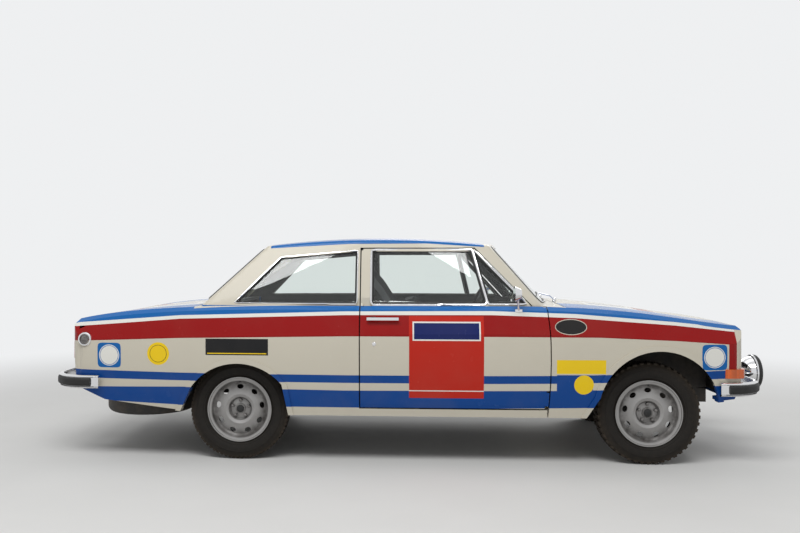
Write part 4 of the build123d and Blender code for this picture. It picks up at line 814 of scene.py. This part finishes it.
def tyres():
    """Tyres with their tread, in place of the plain solids."""
    outline = CARCASS + [(radius, -across) for radius, across in reversed(CARCASS)]
    for wheel, place in wheels():
        shape = turned(bmesh.new(), outline, place, TYRE_STEPS, closed=True)
        rows = KNOBBLY if wheel.startswith("front") else ROAD
        for row, (across, width, count, share, slant, drop) in enumerate(rows):
            for i in range(count):
                angle = math.tau * (i + 0.5 * (row % 2)) / count
                tread_block(shape, place, angle, math.pi * share / count, across, width, slant, drop)
        add_piece(f"treaded_tyre_{wheel}", shape, "tyre", f"wheel_{wheel}", [f"tyre_{wheel}"])


HUB_FACE = 0.022
NUT_CIRCLE = 0.054
NUTS = 5
NUT_TURN = 0.3
VALVE_PLACE = (0.0, 0.176, 0.03)

# Outlines of nut, hub cap and valve, as (radius, height)
NUT_END = [(0.0, 0.024), (0.004, 0.024), (0.006, 0.0215)]
NUT_SIDE = [(0.006, 0.0215), (0.0095, 0.02), (0.011, 0.017), (0.011, -0.002)]
HUB_CAP = [(0.0, 0.026), (0.012, 0.0255), (0.022, 0.022), (0.027, 0.014), (0.029, 0.003), (0.031, -0.004)]
VALVE = [(0.0, 0.034), (0.003, 0.034), (0.0035, 0.02), (0.0045, 0.012), (0.0045, 0.0)]


def wheel_fittings():
    """Wheel nuts, hub cap and valve on each rim."""
    for wheel, place in wheels():
        face = place @ moved(0.0, 0.0, HUB_FACE)
        shape = bmesh.new()
        for i in range(NUTS):
            angle = math.tau * i / NUTS + NUT_TURN
            spot = face @ moved(NUT_CIRCLE * math.cos(angle), NUT_CIRCLE * math.sin(angle), 0.0)
            turned(shape, NUT_END, spot, 12)
            turned(shape, NUT_SIDE, spot, 6)
        add_piece(f"wheel_nuts_{wheel}", shape, "dark_steel", f"wheel_{wheel}", sharp=20.0)
        shape = turned(bmesh.new(), HUB_CAP, face, 40)
        turned(shape, VALVE, place @ moved(*VALVE_PLACE), 12)
        add_piece(f"hub_cap_{wheel}", shape, "plastic", f"wheel_{wheel}")


# Lamps: distance of an axis from the middle of the car and its height, then (radius, x) outlines
HEADLAMP_Y, HEADLAMP_Z = 0.61, 0.735
DRIVING_LAMP_Y, DRIVING_LAMP_Z = 0.3, 0.533
HEADLAMP_BOWL = [(0.042, 1.987), (0.083, 2.015), (0.0885, 2.026), (0.0885, 2.054), (0.086, 2.0625),
                 (0.081, 2.064), (0.0765, 2.06), (0.0755, 2.05), (0.06, 2.028), (0.035, 2.012),
                 (0.0, 2.006)]
BULB = [(0.0, 2.04), (0.007, 2.038), (0.01, 2.03), (0.01, 2.01)]
HEADLAMP_GLASS = [(0.0, 2.079), (0.02, 2.0782), (0.04, 2.0755), (0.06, 2.07), (0.072, 2.063),
                  (0.077, 2.057), (0.077, 2.054), (0.07, 2.06), (0.04, 2.072), (0.0, 2.076)]
DRIVING_LAMP_SHELL = [(0.0, 2.212), (0.03, 2.212), (0.04, 2.2155), (0.056, 2.224), (0.074, 2.237),
                      (0.088, 2.252), (0.099, 2.273), (0.105, 2.296), (0.1145, 2.2985), (0.115, 2.301),
                      (0.115, 2.309), (0.112, 2.311)]
DRIVING_LAMP_COVER = [(0.11, 2.308), (0.1145, 2.31), (0.115, 2.313), (0.115, 2.326), (0.113, 2.331),
                      (0.107, 2.337), (0.099, 2.3385), (0.097, 2.341), (0.062, 2.346), (0.03, 2.349),
                      (0.0, 2.35)]
CLAMP_X, CLAMP_Z = 2.201, 0.5363
BOLT = [(0.0, 0.004), (0.006, 0.004), (0.0085, 0.001), (0.0085, -0.002)]

# Lenses at the corners: piece, x from, x to, material
CORNER_LAMPS = (("indicators", 1.9, 2.07, "amber"), ("tail_lamps", -2.3, -2.0, "red_lens"))
CORNER_LAMP_Y = 0.63


def lamp_set():
    """Headlamps, driving lamps, indicators and tail lamps in place of the plain solids."""
    bright, clear, dark = bmesh.new(), bmesh.new(), bmesh.new()
    for sign in SIDES.values():
        place = pointing((0.0, sign * HEADLAMP_Y, HEADLAMP_Z), FORWARD)
        turned(bright, HEADLAMP_BOWL, place, 64)
        turned(bright, BULB, place, 16)
        turned(clear, HEADLAMP_GLASS, place, 64)
        y = sign * DRIVING_LAMP_Y
        place = pointing((0.0, y, DRIVING_LAMP_Z), FORWARD)
        turned(bright, DRIVING_LAMP_SHELL, place, 72)
        turned(dark, DRIVING_LAMP_COVER, place, 72)
        rounded_box(bright, moved(CLAMP_X, y, CLAMP_Z), (0.07, 0.044, 0.006), 0.0015)
        turned(bright, BOLT, pointing((CLAMP_X - 0.015, y, CLAMP_Z + 0.004), UP), 6)
    add_piece("lamp_bowls", bright, "chrome", replaces=["lamps"])
    add_piece("headlamp_lenses", clear, "clear", replaces=["lamps"])
    add_piece("driving_lamp_covers", dark, "plastic", replaces=["lamps"])
    corner_lamps()


def corner_lamps():
    """Indicator and tail lamp lenses, cut from the solids' own corners."""
    for name, x_low, x_high, material in CORNER_LAMPS:
        shape, parts = islands("lamps")
        keep = set()
        for part in parts:
            middle = part_middle(part)
            if x_low < middle.x < x_high and abs(middle.y) > CORNER_LAMP_Y:
                keep.update(part)
        bmesh.ops.delete(shape, geom=[f for f in shape.faces if f not in keep], context="FACES")
        add_piece(name, shape, material, replaces=["lamps"], sharp=25.0)


# Cushions: grid, reach of the air inside, and the pressed seams
PAD_ROWS, PAD_COLUMNS = 14, 16
PLUMP_REACH = 0.01
AIR_FRAMES = 20
SEAM_HALF, SEAM_DEPTH = 0.007, 0.006
CHANNEL_PITCH = 0.075

SEAT_X, SEAT_Y = 0.088, 0.36
SEAT_LEAN = 14.0
BENCH_WIDTH = 1.056


def pad_point(u, v, width, depth, bolster, rise):
    """Local Y and Z of a cushion's top, u along its length and v across from its middle."""
    pinch = 1.0 - 0.05 * (1.0 - math.sin(math.pi * u))
    y = v * width / 2 * pinch
    crest = max(0.0, 1.0 - abs(abs(y) - (width / 2 - bolster / 2)) / (bolster / 2)) if bolster else 0.0
    return y, depth * (0.9 + 0.1 * math.sin(math.pi * u) * (1.0 - v * v)) + rise * crest


def pad_form(place, length, width, depth, bolster, rise):
    """Closed cushion form in local axes: length along X, width along Y, raised edges towards +Z."""
    shape = bmesh.new()
    top, under = [], []
    for i in range(PAD_ROWS + 1):
        u = i / PAD_ROWS
        top.append([])
        under.append([])
        for j in range(PAD_COLUMNS + 1):
            y, height = pad_point(u, 2.0 * j / PAD_COLUMNS - 1.0, width, depth, bolster, rise)
            top[i].append(shape.verts.new(place @ Vector((u * length, y, height))))
            under[i].append(shape.verts.new(place @ Vector((u * length, y, 0.0))))
    slab(shape, top, under)
    return shape


def remeshed(piece, voxel):
    """Gives a piece an even mesh in place of its own, and returns it."""
    remesh = piece.modifiers.new("remesh", "REMESH")
    remesh.mode = "VOXEL"
    remesh.voxel_size = voxel
    graph = bpy.context.evaluated_depsgraph_get()
    even = bpy.data.meshes.new_from_object(piece.evaluated_get(graph))
    piece.modifiers.clear()
    old = piece.data
    piece.data = even
    bpy.data.meshes.remove(old)
    return even


def plump(piece, voxel):
    """Inflates a cushion as cloth and caps how far each point may move."""
    bpy.context.view_layer.objects.active = piece
    even = remeshed(piece, voxel)
    air = piece.modifiers.new("air", "CLOTH")
    air.settings.use_pressure = True
    air.settings.uniform_pressure_force = 4.0
    air.settings.quality = 4
    air.settings.effector_weights.gravity = 0.0
    air.point_cache.frame_start = 1
    air.point_cache.frame_end = AIR_FRAMES
    for number in range(1, AIR_FRAMES + 1):
        bpy.context.scene.frame_set(number)
    graph = bpy.context.evaluated_depsgraph_get()
    blown = [v.co.copy() for v in piece.evaluated_get(graph).data.vertices]
    piece.modifiers.clear()
    bpy.context.scene.frame_set(1)
    for vert, end in zip(even.vertices, blown):
        step = end - vert.co
        if step.length > PLUMP_REACH:
            step = step.normalized() * PLUMP_REACH
        vert.co += step


def sew(piece, place, seams):
    """Presses seams into a cushion: each is (axis, position, from, to) in the cushion's local axes."""
    inverse = place.inverted()
    shape = bmesh.new()
    shape.from_mesh(piece.data)
    bmesh.ops.smooth_vert(shape, verts=shape.verts, factor=0.5,
                          use_axis_x=True, use_axis_y=True, use_axis_z=True)
    shape.normal_update()
    moves = []
    for vert in shape.verts:
        local = inverse @ vert.co
        press = 0.0
        for axis, spot, low, high in seams:
            if low < local[1 - axis] < high:
                press = max(press, math.exp(-((local[axis] - spot) / SEAM_HALF) ** 2))
        moves.append(vert.normal * (-SEAM_DEPTH * press))
    for vert, move in zip(shape.verts, moves):
        vert.co += move
    shape.to_mesh(piece.data)
    shape.free()
    piece.data.shade_smooth()
    piece.data.materials.clear()
    piece.data.materials.append(MATERIALS["cloth"])
    smooth = piece.modifiers.new("smooth", "SUBSURF")
    smooth.levels = smooth.render_levels = 1


def add_pad(name, place, length, width, depth, node, panel, bolster=0.0, rise=0.0):
    """Padded cushion with seams beside its middle panel and channels across it."""
    piece = add_piece(name, pad_form(place, length, width, depth, bolster, rise), "cloth",
                      replaces=[node])
    wide = width == BENCH_WIDTH
    plump(piece, 0.009 if wide else 0.007)
    seams = [(1, y, 0.0, length) for y in ((-panel, panel, 0.0) if wide else (-panel, panel))]
    channels = max(int(length / CHANNEL_PITCH), 2)
    limit = width / 2 if wide else panel
    seams += [(0, length * i / channels, -limit, limit) for i in range(1, channels)]
    sew(piece, place, seams)


def seat_pads():
    """Padded seats: two buckets in front on their bases, and the bench behind."""
    over = turn(180.0, "X")
    lean = turn(-90.0 - SEAT_LEAN, "Y") @ over @ moved(0.045, 0.0, 0.008)
    for side, sign in SIDES.items():
        cushion = moved(SEAT_X + 0.012, sign * SEAT_Y, 0.438)
        add_pad(f"seat_cushion_{side}", cushion, 0.446, 0.412, 0.104, "seats", 0.13, 0.08, 0.036)
        back = moved(SEAT_X - 0.01, sign * SEAT_Y, 0.525) @ lean
        add_pad(f"seat_back_{side}", back, 0.437, 0.412, 0.064, "seats", 0.13, 0.08, 0.04)
    add_pad("bench_cushion", moved(-0.968, 0.0, 0.524), 0.4, BENCH_WIDTH, 0.104, "rear_seat", 0.24)
    rise = moved(-1.008, 0.0, 0.66) @ turn(-90.0, "Y") @ over
    add_pad("bench_back", rise, 0.262, BENCH_WIDTH, 0.066, "rear_seat", 0.24)
    shape = bmesh.new()
    for sign in SIDES.values():
        rounded_box(shape, moved(0.3, sign * SEAT_Y, 0.383), (0.36, 0.36, 0.092), 0.012)
    add_piece("seat_bases", shape, "chassis", replaces=["seats"])


# Fittings on the paint: x and z, then (radius, height) outlines
ESCUTCHEON_PLACE = (-0.245, 0.913)
ESCUTCHEON_STRETCH = 2.1
LOCK_PLACE = (-0.235, 0.762)
FUEL_PLACE = (-2.109, 0.776)
ESCUTCHEON = [(0.0, 0.001), (0.013, 0.0015), (0.0165, 0.003), (0.0185, 0.0)]
LOCK = [(0.0, 0.004), (0.008, 0.004), (0.012, 0.002), (0.013, -0.001)]
FUEL_RIM = [(0.03, 0.002), (0.031, 0.007), (0.0335, 0.0105), (0.037, 0.0115), (0.041, 0.01),
            (0.044, 0.006), (0.0455, 0.001), (0.0455, -0.006)]
FUEL_CAP = [(0.0, 0.0045), (0.012, 0.004), (0.024, 0.003), (0.0305, 0.001)]
FUEL_RIBS = 12


def on_skin(tree, sign, x, z):
    """Place on a side's skin, with local Z straight away from the middle of the car."""
    spot = cast(tree, (x, sign * 1.5, z), (0.0, -sign, 0.0))[0]
    return pointing(spot, (0.0, sign, 0.0))


def side_fittings():
    """Escutcheons, door locks and the fuel cap, set on the paint."""
    for side, sign in SIDES.items():
        tree = surface(f"door_{side}")
        place = on_skin(tree, sign, *ESCUTCHEON_PLACE) @ Matrix.Diagonal((ESCUTCHEON_STRETCH, 1.0, 1.0, 1.0))
        shape = turned(bmesh.new(), ESCUTCHEON, place, 40)
        add_piece(f"escutcheon_{side}", shape, "plastic", f"door_{side}")
        shape = turned(bmesh.new(), LOCK, on_skin(tree, sign, *LOCK_PLACE), 40)
        add_piece(f"door_lock_{side}", shape, "chrome", f"door_{side}")
    place = on_skin(surface("rear_quarter_right"), SIDES["right"], *FUEL_PLACE)
    add_piece("fuel_cap_rim", turned(bmesh.new(), FUEL_RIM, place, 56), "chrome")
    shape = turned(bmesh.new(), FUEL_CAP, place, 40)
    for i in range(FUEL_RIBS):
        rib = place @ turn(360.0 * i / FUEL_RIBS, "Z") @ moved(0.018, 0.0, 0.004)
        rounded_box(shape, rib, (0.02, 0.003, 0.003), 0.001)
    rounded_box(shape, place @ moved(0.0, 0.0, 0.008), (0.046, 0.011, 0.009), 0.0025)
    add_piece("fuel_cap", shape, "dark_steel")


SHUT_X = -0.3225
EDGE_DEPTH = 0.0025
STRIP_ROWS = 18
SKIN_STEP = 0.004
SKIN_TRIES = 6
STRIP_INSET = 0.0004

# Upright edge strips of a door: the panel beyond, heights, x where it starts on the door and where it ends
EDGE_STRIPS = [
    ("rear_quarter", (0.376, 0.458), (-0.303, -0.303), (SHUT_X, SHUT_X)),
    ("rear_quarter", (0.87, 0.991), (-0.303, -0.303), (SHUT_X, SHUT_X)),
    ("rear_quarter", (0.992, 1.352), (-0.309, -0.309), (SHUT_X, SHUT_X)),
    ("front_wing", (0.376, 0.462), (0.824, 0.83), (0.8495, 0.8535)),
    ("front_wing", (0.87, 0.991), (0.83, 0.822), (0.852, 0.8432)),
]
SILL_STRIP = (0.3785, 0.3585)
PROBE_X = (-0.3, 0.8)
FOOT_Z, SILL_TOP_Z = 0.384, 0.345
SILL_LENGTH = 1.149
SILL_SHARE = 0.72


def on_way(pair, share):
    """Number at a share of the way from the first to the second of a pair."""
    return pair[0] + (pair[1] - pair[0]) * share


def edge_strip(shape, sign, rows):
    """Closed thin strip on the skin; each row is its height and its (x, y) points."""
    grids = [[[shape.verts.new((x, sign * (y - depth), z)) for x, y in run] for z, run in rows]
             for depth in (0.0, EDGE_DEPTH)]
    slab(shape, *grids)


def skin_depth(tree, sign, x, z, step=0.0):
    """Distance of a panel's skin from the middle of the car, looked for from x on in small steps."""
    for i in range(SKIN_TRIES):
        spot = cast(tree, (x + step * i, sign * 1.2, z), (0.0, -sign, 0.0))[0]
        if spot:
            return abs(spot.y) - STRIP_INSET
    return None


def upright_strip(shape, sign, door, beyond, *limits):
    """Strip along an upright edge, from the door's skin to a shut line before the panel beyond."""
    rows = []
    inward = math.copysign(SKIN_STEP, limits[1][0] - limits[2][0])
    for i in range(STRIP_ROWS + 1):
        z, start, end = (on_way(pair, i / STRIP_ROWS) for pair in limits)
        y_start = skin_depth(door, sign, start, z, inward)
        y_end = skin_depth(beyond, sign, end - inward * 3.0, z, -inward)
        if y_start and y_end:
            run = [(on_way((start, end), j / 4), on_way((y_start, y_end), j / 4)) for j in range(5)]
            rows.append((z, run))
    edge_strip(shape, sign, rows)


def sill_strip(shape, sign, door, sill):
    """Strip along the foot of the door, down to a shut line above the sill."""
    rows = []
    for share in (0.0, 0.5, 1.0):
        run = []
        for i in range(17):
            x = SHUT_X + SILL_LENGTH * i / 16
            probe = min(max(x, PROBE_X[0]), PROBE_X[1])
            ends = (skin_depth(door, sign, probe, FOOT_Z), skin_depth(sill, sign, probe, SILL_TOP_Z))
            run.append((x, on_way(ends, share * SILL_SHARE)))
        rows.append((on_way(SILL_STRIP, share), run))
    edge_strip(shape, sign, rows)


def door_edges():
    """Strips that carry each door's skin on to its shut lines."""
    sill = surface("floor_pan")
    for side, sign in SIDES.items():
        door = surface(f"door_{side}")
        shape = bmesh.new()
        for panel, *limits in EDGE_STRIPS:
            upright_strip(shape, sign, door, surface(f"{panel}_{side}"), *limits)
        sill_strip(shape, sign, door, sill)
        add_piece(f"door_edges_{side}", shape, "paint", f"door_{side}")


VISOR_X, VISOR_Z = 0.452, 1.318
VISOR_TILT = 38.0

# Belt from its upper anchor down to the sill: x, distance from the middle, z
BELT = [(-0.305, 0.618, 1.215), (-0.215, 0.602, 1.11), (-0.15, 0.588, 1.01), (-0.112, 0.582, 0.9),
        (-0.085, 0.59, 0.7), (-0.07, 0.6, 0.42)]
BELT_ANCHOR = (-0.308, 0.622, 1.222)
BELT_SECTION = [(-0.023, 0.0), (-0.023, 0.003), (0.023, 0.003), (0.023, 0.0)]
STEERING_WHEEL = Vector((0.488, SEAT_Y, 0.905))
COLUMN_TILT = math.radians(25.0)
HORN_PAD = [(0.0, 0.03), (0.03, 0.029), (0.045, 0.024), (0.052, 0.014), (0.054, 0.0)]


def cabin_fittings():
    """Sun visors, belts and the steering wheel's pad."""
    visors, belts = bmesh.new(), bmesh.new()
    for sign in SIDES.values():
        place = moved(VISOR_X, sign * SEAT_Y, VISOR_Z) @ turn(VISOR_TILT, "Y")
        rounded_box(visors, place, (0.15, 0.4, 0.014), 0.006)
        line = even_line([Vector((x, sign * y, z)) for x, y, z in BELT], 0.03, closed=False)
        outward = Vector((0.35, -sign, 0.1)).normalized()
        ribbon(belts, line, [outward] * len(line), BELT_SECTION, closed=False)
        x, y, z = BELT_ANCHOR
        rounded_box(belts, moved(x, sign * y, z), (0.062, 0.016, 0.04), 0.004)
    add_piece("sun_visors", visors, "visor")
    add_piece("seat_belts", belts, "webbing")
    back = Vector((-math.cos(COLUMN_TILT), 0.0, math.sin(COLUMN_TILT)))
    shape = turned(bmesh.new(), HORN_PAD, pointing(STEERING_WHEEL + back * 0.004, back), 48)
    add_piece("horn_pad", shape, "vinyl", "steering_wheel")


OIL_CAP = [(0.0, 0.03), (0.024, 0.03), (0.027, 0.026), (0.027, 0.0)]
AIR_FILTER = [(0.0, 0.05), (0.1, 0.05), (0.118, 0.044), (0.122, 0.034), (0.122, -0.02), (0.112, -0.03),
              (0.0, -0.03)]
FILTER_NUT = [(0.0, 0.066), (0.01, 0.064), (0.012, 0.05)]
FILTER_Y = -0.235
RADIATOR_X, RADIATOR_Z = 1.925, 0.66
COVER_RIBS = 6
RADIATOR_FINS = 34


def engine_bay():
    """Rocker cover and air filter on the engine block, and the radiator before it."""
    low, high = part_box("engine")
    middle = (low[0] + high[0]) / 2
    shape = rounded_box(bmesh.new(), moved(middle, 0.0, high[2] + 0.02), (0.52, 0.15, 0.05), 0.018)
    for i in range(COVER_RIBS):
        rib = moved(middle - 0.2 + 0.08 * i, 0.0, high[2] + 0.046)
        rounded_box(shape, rib, (0.008, 0.12, 0.01), 0.003)
    turned(shape, OIL_CAP, moved(middle + 0.17, 0.0, high[2] + 0.045), 24)
    add_piece("rocker_cover", shape, "steel")
    place = pointing((middle - 0.02, FILTER_Y, high[2] - 0.01), UP)
    shape = turned(bmesh.new(), AIR_FILTER, place, 56)
    turned(shape, FILTER_NUT, place, 8)
    add_piece("air_filter", shape, "plastic")
    shape = rounded_box(bmesh.new(), moved(RADIATOR_X, 0.0, RADIATOR_Z), (0.04, 0.56, 0.33), 0.01)
    for i in range(RADIATOR_FINS):
        fin = moved(RADIATOR_X + 0.021, -0.264 + 0.016 * i, RADIATOR_Z)
        rounded_box(shape, fin, (0.006, 0.004, 0.27), 0.001)
    add_piece("radiator", shape, "chassis")


GRILLE_INSET = 0.006
GRILLE_SECTION = [(-0.006, -0.004), (-0.006, 0.002), (-0.003, 0.005), (0.004, 0.005), (0.007, 0.001),
                  (0.007, -0.004)]


def grille_surround():
    """Bright frame round the grille."""
    low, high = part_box("grille")
    sides = (low[1] + GRILLE_INSET, high[1] - GRILLE_INSET)
    levels = (low[2] + GRILLE_INSET, high[2] - GRILLE_INSET)
    corners = [Vector((high[0] + 0.002, sides[i], levels[j])) for i, j in ((0, 0), (1, 0), (1, 1), (0, 1))]
    line = even_line(corners, 0.01)
    shape = ribbon(bmesh.new(), line, [FORWARD] * len(line), GRILLE_SECTION)
    add_piece("grille_surround", shape, "chrome")


# Inside of a door: x, distance in from the trim panel and z of each pad, its size and its edge
DOOR_TRIM_Y = 0.7515
DOOR_PADS = [
    ((0.215, 0.0, 0.655), (0.86, 0.009, 0.47), 0.004),
    ((0.215, 0.006, 0.8), (0.8, 0.01, 0.12), 0.005),
    ((0.2, 0.026, 0.7), (0.3, 0.052, 0.048), 0.014),
]
WINDER_X, WINDER_Z = 0.48, 0.62
WINDER_HUB = [(0.0, 0.012), (0.016, 0.011), (0.02, 0.006), (0.021, 0.0)]
WINDER_KNOB = [(0.0, 0.034), (0.008, 0.033), (0.011, 0.026), (0.008, 0.016), (0.008, 0.01)]


def door_cards():
    """Trim panel, armrest and window winder inside each door."""
    for side, sign in SIDES.items():
        shape = bmesh.new()
        for (x, inward, z), size, edge in DOOR_PADS:
            rounded_box(shape, moved(x, sign * (DOOR_TRIM_Y - inward), z), size, edge)
        add_piece(f"door_card_{side}", shape, "vinyl", f"door_{side}")
        place = pointing((WINDER_X, sign * (DOOR_TRIM_Y - 0.004), WINDER_Z), (0.0, -sign, 0.0))
        shape = turned(bmesh.new(), WINDER_HUB, place, 28)
        rounded_box(shape, place @ moved(0.045, 0.0, 0.012), (0.1, 0.012, 0.006), 0.002)
        turned(shape, WINDER_KNOB, place @ moved(0.088, 0.0, 0.0), 20)
        add_piece(f"window_winder_{side}", shape, "chrome", f"door_{side}")


# Dials on the dashboard: y and radius; a rim's section is added to the radius
DIALS = ((0.3, 0.046), (0.42, 0.046), (0.13, 0.028), (0.06, 0.028), (-0.01, 0.028))
DIAL_X, DIAL_Z = 0.652, 0.868
DIAL_RIM = [(0.004, -0.004), (0.004, 0.006), (0.002, 0.009), (0.0, 0.008), (0.0, 0.0)]
DIAL_FACE = [(0.0, 0.002), (0.001, -0.003)]
DIAL_MARKS = 11


def dial_mark(shape, place, degrees, reach, height, width, length):
    """Thin bar on a dial, pointing from its middle."""
    spot = place @ turn(degrees, "Z") @ moved(0.0, reach, height)
    rounded_box(shape, spot, (width, length, 0.001), 0.0003)


def instruments():
    """Round dials on the slanted face of the dashboard."""
    slant = Vector((-0.13, 0.0, -0.03)).normalized()
    dark, bright, marks = bmesh.new(), bmesh.new(), bmesh.new()
    for y, radius in DIALS:
        place = pointing((DIAL_X, y, DIAL_Z), slant)
        turned(bright, [(radius + out, height) for out, height in DIAL_RIM], place, 40)
        turned(dark, [(0.0, 0.002), *((radius + out, height) for out, height in DIAL_FACE)], place, 40)
        for i in range(DIAL_MARKS):
            dial_mark(marks, place, -130.0 + 26.0 * i, radius * 0.84, 0.0025, 0.0014, radius * 0.18)
        dial_mark(marks, place, -110.0, radius * 0.36, 0.004, 0.0016, radius * 0.8)
    add_piece("dial_faces", dark, "dial")
    add_piece("dial_rims", bright, "chrome")
    add_piece("dial_marks", marks, "mark")


# Wipers: y of a blade's ends and of its pivot, and the sections of blade, rail and arm
WIPERS = ((-0.6, -0.18, -0.38), (-0.03, 0.39, 0.18))
WIPER_STEPS = 14
BLADE = [(-0.002, 0.0005), (-0.003, 0.008), (0.003, 0.008), (0.002, 0.0005)]
RAIL = [(-0.004, 0.008), (-0.004, 0.012), (0.004, 0.012), (0.004, 0.008)]
ARM = [(-0.005, -0.002), (-0.004, 0.004), (0.004, 0.004), (0.005, -0.002)]
PIVOT_X, PIVOT_Z = 0.972, 1.018
PIVOT = [(0.0, 0.02), (0.008, 0.019), (0.011, 0.014), (0.012, 0.0), (0.012, -0.03)]


def blade_line(tree, outer, inner):
    """Points and outward directions of a blade along the foot of the windscreen."""
    line, normals = [], []
    for i in range(WIPER_STEPS + 1):
        start = (2.0, outer + (inner - outer) * i / WIPER_STEPS, 1.05 + 0.012 * i / WIPER_STEPS)
        spot, normal = cast(tree, start, -FORWARD)
        line.append(spot)
        normals.append(normal if normal.x > 0.0 else -normal)
    return line, normals


def wipers():
    """Two wipers parked along the foot of the windscreen."""
    tree = surface("glazing")
    metal, rubber = bmesh.new(), bmesh.new()
    for outer, inner, pivot_y in WIPERS:
        line, normals = blade_line(tree, outer, inner)
        ribbon(rubber, line, normals, BLADE, closed=False)
        ribbon(metal, line, normals, RAIL, closed=False)
        half = WIPER_STEPS // 2
        middle = line[half] + normals[half] * 0.014
        pivot = Vector((PIVOT_X, pivot_y, PIVOT_Z))
        elbow = pivot.lerp(middle, 0.4) + Vector((0.012, 0.0, 0.01))
        run = even_line([pivot, elbow, middle], 0.02, closed=False)
        ribbon(metal, run, [normals[half]] * len(run), ARM, closed=False)
        turned(metal, PIVOT, pointing(pivot, (0.3, 0.0, 1.0)), 24)
    add_piece("wiper_blades", rubber, "rubber")
    add_piece("wiper_arms", metal, "chrome")


def make_camera():
    """Camera at the photograph's place, for a frame of 800 by 533."""
    data = bpy.data.cameras.new("camera")
    camera = linked("camera", data)
    camera.location = (-0.071, -5.806, 1.262)
    yaw = math.atan2(0.0584, 0.9983)
    camera.rotation_euler = (math.radians(90.0), 0.0, yaw)
    data.sensor_width = 36.0
    data.lens = 35.55
    data.shift_x = 0.0575
    data.shift_y = -0.003
    bpy.context.scene.camera = camera


def area_light(name, place, target, size, power):
    data = bpy.data.lights.new(name, "AREA")
    data.shape = "RECTANGLE"
    data.size, data.size_y = size
    data.energy = power
    lamp = linked(name, data)
    lamp.location = place
    lamp.rotation_euler = (Vector(target) - Vector(place)).to_track_quat("-Z", "Y").to_euler()


def seen_rays(tree):
    """One for the rays that show the background: from the camera, off gloss and through glass."""
    path = tree.nodes.new("ShaderNodeLightPath")
    total = path.outputs["Is Camera Ray"]
    for name in ("Is Glossy Ray", "Is Transmission Ray"):
        either = tree.nodes.new("ShaderNodeMath")
        either.operation = "MAXIMUM"
        tree.links.new(total, either.inputs[0])
        tree.links.new(path.outputs[name], either.inputs[1])
        total = either.outputs[0]
    return total


FLOOR_REACH = 60.0
FLOOR_TONES = ((0.6, 0.6, 0.59), (0.64, 0.64, 0.63))
FADE = (3.0, 7.5)


def make_floor():
    """Pale floor that fades into the background where it is far away."""
    mesh = bpy.data.meshes.new("floor")
    corners = [(x * FLOOR_REACH, y * FLOOR_REACH, 0) for x, y in ((-1, -1), (1, -1), (1, 1), (-1, 1))]
    mesh.from_pydata(corners, [], [(0, 1, 2, 3)])
    floor = linked("floor", mesh)
    shader = Shader("floor")
    shader.set(Base_Color=shader.mix(shader.noise(2.0), *FLOOR_TONES), Roughness=0.7)
    away = shader.node("ShaderNodeVectorMath", operation="LENGTH")
    shader.join(shader.coordinate("Object"), away.inputs[0])
    far = shader.node("ShaderNodeMapRange", interpolation_type="SMOOTHSTEP")
    for source, name in ((away.outputs["Value"], "Value"), (FADE[0], "From Min"), (FADE[1], "From Max")):
        shader.join(source, far.inputs[name])
    glow = shader.node("ShaderNodeEmission")
    shader.join(BACKDROP, glow.inputs["Color"])
    shader.give_way(shader.product(far.outputs[0], seen_rays(shader.tree)), glow)
    mesh.materials.append(shader.material)


def make_studio():
    """Pale background and plain soft light."""
    scene = bpy.context.scene
    scene.view_settings.view_transform = "Standard"
    world = bpy.data.worlds.new("studio")
    scene.world = world
    world.use_nodes = True
    tree = world.node_tree
    base = tree.nodes["Background"]
    shown = tree.nodes.new("ShaderNodeBackground")
    for light, colour, strength in ((base, (1.0, 1.0, 1.0), 0.42), (shown, BACKDROP, 1.0)):
        light.inputs["Color"].default_value = (*colour, 1.0)
        light.inputs["Strength"].default_value = strength
    blend = tree.nodes.new("ShaderNodeMixShader")
    for source, socket in zip((seen_rays(tree), base.outputs[0], shown.outputs[0]), blend.inputs):
        tree.links.new(source, socket)
    tree.links.new(blend.outputs[0], tree.nodes["World Output"].inputs["Surface"])
    area_light("key", (-1.0, -4.8, 6.8), (0.0, -0.3, 0.6), (6.5, 2.5), 430.0)
    area_light("top", (0.0, 0.8, 6.5), (0.0, 0.0, 0.5), (7.0, 3.0), 40.0)
    area_light("back", (2.0, 6.0, 4.5), (0.0, 0.0, 0.6), (6.0, 3.0), 120.0)


dress_nodes()
window_trim()
tyres()
wheel_fittings()
lamp_set()
seat_pads()
side_fittings()
door_edges()
cabin_fittings()
engine_bay()
grille_surround()
door_cards()
instruments()
wipers()
make_camera()
make_floor()
make_studio()
